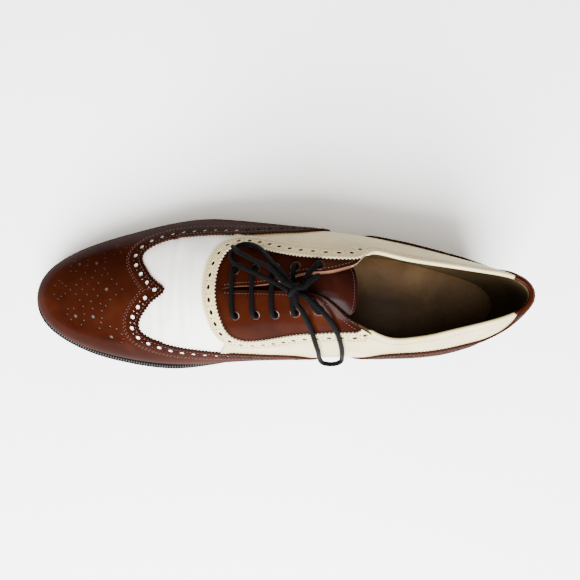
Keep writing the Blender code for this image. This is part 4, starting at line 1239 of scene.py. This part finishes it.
# Eyelets: small round rims, sunk in the facing
rimSet = {"lift": 1.2, "thickness": 0.9, "metallic": 0.5, "steps": 20}
eyeletMetal = leather("eyeletMetal", (0.016, 0.006, 0.0035), (0.026, 0.010, 0.006), (0.042, 0.018, 0.011),
                      (0.016, 0.006, 0.0035), 0.4, coat=0.1, bump=0.1, specular=0.2)
eyeletMetal.node_tree.nodes["Principled BSDF"].inputs["Metallic"].default_value = rimSet["metallic"]
for index, (angle, turn) in enumerate(eyeletPlaces):
    word, number = ("outer", index + 1) if index < 5 else ("inner", index - 4)
    seat = Vector(lasted(np.array([angle]), np.array([turn]), np.array([rimSet["lift"]]))[0])
    axis = Vector(outward(np.array([angle]), np.array([turn]))[0])
    rimShape = bmesh.new()
    middle = (eyeletSet["hole"] + eyeletSet["rim"]) / 4 * mm
    upright = Matrix.Translation((middle, 0, 0)) @ Matrix.Rotation(math.pi / 2, 4, "X")
    bmesh.ops.create_circle(rimShape, cap_ends=False, segments=8, radius=rimSet["thickness"] / 2 * mm,
                            matrix=upright)
    bmesh.ops.spin(rimShape, geom=rimShape.verts[:] + rimShape.edges[:], cent=(0, 0, 0), axis=(0, 0, 1),
                   angle=2 * math.pi, steps=rimSet["steps"], use_merge=True)
    bmesh.ops.remove_doubles(rimShape, verts=rimShape.verts, dist=0.01 * mm)
    bmesh.ops.recalc_face_normals(rimShape, faces=rimShape.faces)
    stand = Matrix.Translation(seat) @ axis.to_track_quat("Z", "Y").to_matrix().to_4x4()
    bmesh.ops.transform(rimShape, matrix=stand, verts=rimShape.verts)
    rim = newPiece(f"eyeletRim{word.capitalize()}{number}", rimShape, eyeletMetal)
    plainEdge(rim)
    settle(rim, "eyelet_metal", f"eyelet_{word}_{number}")
print("eyelets set")

# Laces: bars through the eyelets, and the bow; the bow's rows are (station, y, lift over the last)
laceSet = {"diameter": 2.8, "spacing": 0.8, "barLift": 4.5, "drawn": (7.6, 0, 0, 0, 0),
           "raised": (3.0, 0, 0, 0, 0), "seatLifts": (-2.6, 0.6, 3.4), "armShares": (0.18, 0.4, 0.7)}
bowRows = {"loopOuter": ((136.0, 1.8, 10.9), (141.5, 8.4, 10.6), (146.5, 14.2, 9.0), (151, 20.4, 6.8),
                         (156.4, 25.0, 5.4), (162.4, 26.5, 5.0), (167.4, 24.5, 5.0), (169.6, 19.9, 5.2),
                         (167.9, 15.2, 6.2), (163.8, 12.2, 7.6), (158.8, 9.6, 8.8), (154.2, 7.3, 9.2),
                         (149.6, 4.9, 9.1), (144.6, 2.2, 9.2), (138.6, -1.6, 9.9)),
           "loopInner": ((132.3, -9.7, 10.9), (129.4, -13.5, 10.6), (127, -18, 9.6), (124.4, -23.8, 8.3),
                         (122.7, -29.9, 10.7), (121.3, -34.2, 15.1), (120.7, -36.5, 27.0),
                         (119.1, -38.5, 19.5), (116.9, -39.9, 15.7), (113.2, -40.4, 13.2),
                         (109.4, -40, 12.8), (107, -38.6, 14.8), (106.9, -36.9, 18.3), (107.6, -35.6, 18.5),
                         (108, -33.4, 11.1), (109, -29.3, 8.0), (111.4, -23.2, 8.2), (115.6, -17.2, 9.6),
                         (121.6, -11.2, 10.9), (127.9, -6.1, 11.6)),
           "endFront": ((137.9, 0.3, 13.4), (141.6, 4.4, 12.8), (147.7, 10.3, 11.4), (156.2, 14.9, 10.2),
                        (161.6, 18.2, 10.4), (165.4, 20.4, 10.6), (169.4, 24.8, 9.2)),
           "endBack": ((129.1, -2.6, 12.0), (126.9, -0.9, 12.0), (124.6, 1.1, 11.4), (122.2, 3.1, 10.6),
                       (119.9, 5.1, 9.6))}


def overLast(station, y, lift):
    # straight above the last at a place in plan, in metres
    ridge = form("ridge", station)
    side = 1 if y >= ridge else -1
    share = min(1.0, abs(y - ridge) / abs(form("lat" if side > 0 else "med", station) - side * ridge))
    power = form("power" if side > 0 else "powerMed", station)
    height = soleTop(station) + last["gap"] + form("bulge", station)
    height = height + form("crown", station) * (1 - share ** power) ** (1 / power)
    reach = station + last["collarLean"] * (1 - share ** 2) * (1 - station / last["length"])
    return np.array([-reach, y, height + lift]) * mm + np.array(last["origin"])


def bowPath(rows):
    return alongPath([overLast(*row) for row in rows], laceSet["spacing"] * mm)


def layLace(name, path, node, roundEnds=True):
    laceShape = bmesh.new()
    laceShape.loops.layers.uv.new("UVMap")
    wrapTube(laceShape, path, laceSet["diameter"] / 2 * mm, 12, roundEnds)
    lace = newPiece(name, laceShape, laceCotton, sharp=60)
    settle(lace, "lace_cotton", node)
    return lace


for number, station in enumerate(eyeletSet["stations"], 1):
    drawn, raised = laceSet["drawn"][number - 1], laceSet["raised"][number - 1]
    arms = []
    for side in (1, -1):
        turn = eyeletTurn(number - 1, side)
        seat = [lasted(sweep(station), turn, np.array(lift)) for lift in laceSet["seatLifts"]]
        arm = [lasted(sweep(station + drawn * share), turn * (1 - share),
                      np.array(laceSet["barLift"] + raised * share)) for share in laceSet["armShares"]]
        arms.append(seat + arm)
    path = alongPath(arms[0] + [(arms[0][-1] + arms[1][-1]) / 2] + arms[1][::-1], laceSet["spacing"] * mm)
    layLace(f"laceBar{number}", path, f"lace_bar_{number}", roundEnds=False)

bowPaths = {name: bowPath(rows) for name, rows in bowRows.items()}

# Knot: the strands of loops and ends cross here, bound by one turn of lace
knotSet = {"place": (133.0, -3.2, 10.5), "size": (4.8, 6.4, 3.3), "core": 0.6, "radius": 1.45,
           "crossings": ((133.6, -3.8, 11.6), (132.9, -4.4, 9.3), (133.2, -1.6, 12.7)),
           "binding": ((135.6, -5.4, 8.8), (135.4, -5.2, 11.2), (134.2, -4.0, 13.2), (132.2, -2.0, 13.3),
                       (131.0, -0.6, 11.2), (130.9, -0.4, 8.8))}
knotShape = bmesh.new()
knotShape.loops.layers.uv.new("UVMap")
outerLoop, innerLoop = bowPaths["loopOuter"], bowPaths["loopInner"]
pairs = ((outerLoop[:4], innerLoop[:4]), (outerLoop[-4:][::-1], innerLoop[-4:][::-1]),
         (bowPaths["endFront"][:4], bowPaths["endBack"][:4]))
for (one, other), middle in zip(pairs, knotSet["crossings"]):
    strand = [one[3], one[1], overLast(*middle), other[1], other[3]]
    wrapTube(knotShape, alongPath(strand, laceSet["spacing"] * mm), knotSet["radius"] * mm, 12)
wrapTube(knotShape, bowPath(knotSet["binding"]), knotSet["radius"] * mm, 12)
knotCore = bmesh.ops.create_icosphere(knotShape, subdivisions=3, radius=1.0)["verts"]
bmesh.ops.scale(knotShape, vec=[v * mm * knotSet["core"] for v in knotSet["size"]], verts=knotCore)
bmesh.ops.translate(knotShape, vec=overLast(*knotSet["place"]), verts=knotCore)
knot = newPiece("laceKnot", knotShape, laceCotton, sharp=60)
settle(knot, "lace_cotton", "lace_knot")

bowNodes = {"loopOuter": "lace_loop_outer", "loopInner": "lace_loop_inner", "endFront": "lace_end_front",
            "endBack": "lace_end_back"}
bowLaces = {name: layLace("lace" + name[0].upper() + name[1:], path, bowNodes[name])
            for name, path in bowPaths.items()}
# The bow paths of the loops and the front end are looked up again here, and nothing more is done with them
for name in ("loopOuter", "loopInner", "endFront"):
    path = bowPaths[name]

# Floor and studio light
floorSet = {"half": 1.5, "dark": 0.93, "pale": 0.96, "roughness": 0.6, "specular": 0.25}
floorShape = bmesh.new()
bmesh.ops.create_grid(floorShape, x_segments=8, y_segments=8, size=floorSet["half"])
floorMaterial, floorTree, floorShader = baseMaterial("paleFloor", floorSet["roughness"],
                                                     specular=floorSet["specular"])
floorNoise = addNode(floorTree, "ShaderNodeTexNoise", {"Scale": 3.0, "Detail": 2.0})
floorTone = mixTones(floorTree, A=[floorSet["dark"]] * 3, B=[floorSet["pale"]] * 3)
floorPlace = addNode(floorTree, "ShaderNodeTexCoord")
wire(floorTree, (floorPlace, "Object", floorNoise, "Vector"), (floorNoise, "Fac", floorTone, "Factor"),
     (floorTone, "Result", floorShader, "Base Color"))
floor = newPiece("floor", floorShape, floorMaterial)

lightAim = Vector((0, 0, 0.04))
worldSet = {"Color": (1.0, 0.92, 0.80, 1), "Strength": 0.3}
lightSet = {"window": ((-0.05, -1.15, 1.05), 1.2, 200.0, (0.98, 0.99, 1.0)),
            "overhead": ((-0.2, -0.6, 1.6), 1.0, 26.0, (0.98, 0.99, 1.0)),
            "far": ((0.2, 1.3, 0.7), 0.9, 8.0, (1.0, 0.80, 0.54))}
for name, (place, size, power, colour) in lightSet.items():
    light = bpy.data.objects.new(name, bpy.data.lights.new(name, "AREA"))
    light.data.shape, light.data.size = "SQUARE", size
    light.data.energy, light.data.color = power, colour
    light.location = place
    light.rotation_euler = (lightAim - Vector(place)).to_track_quat("-Z", "Y").to_euler()
    bpy.context.scene.collection.objects.link(light)
world = bpy.data.worlds.new("studio")
world.use_nodes = True
for key, value in worldSet.items():
    world.node_tree.nodes["Background"].inputs[key].default_value = value
bpy.context.scene.world = world
print("lights set")
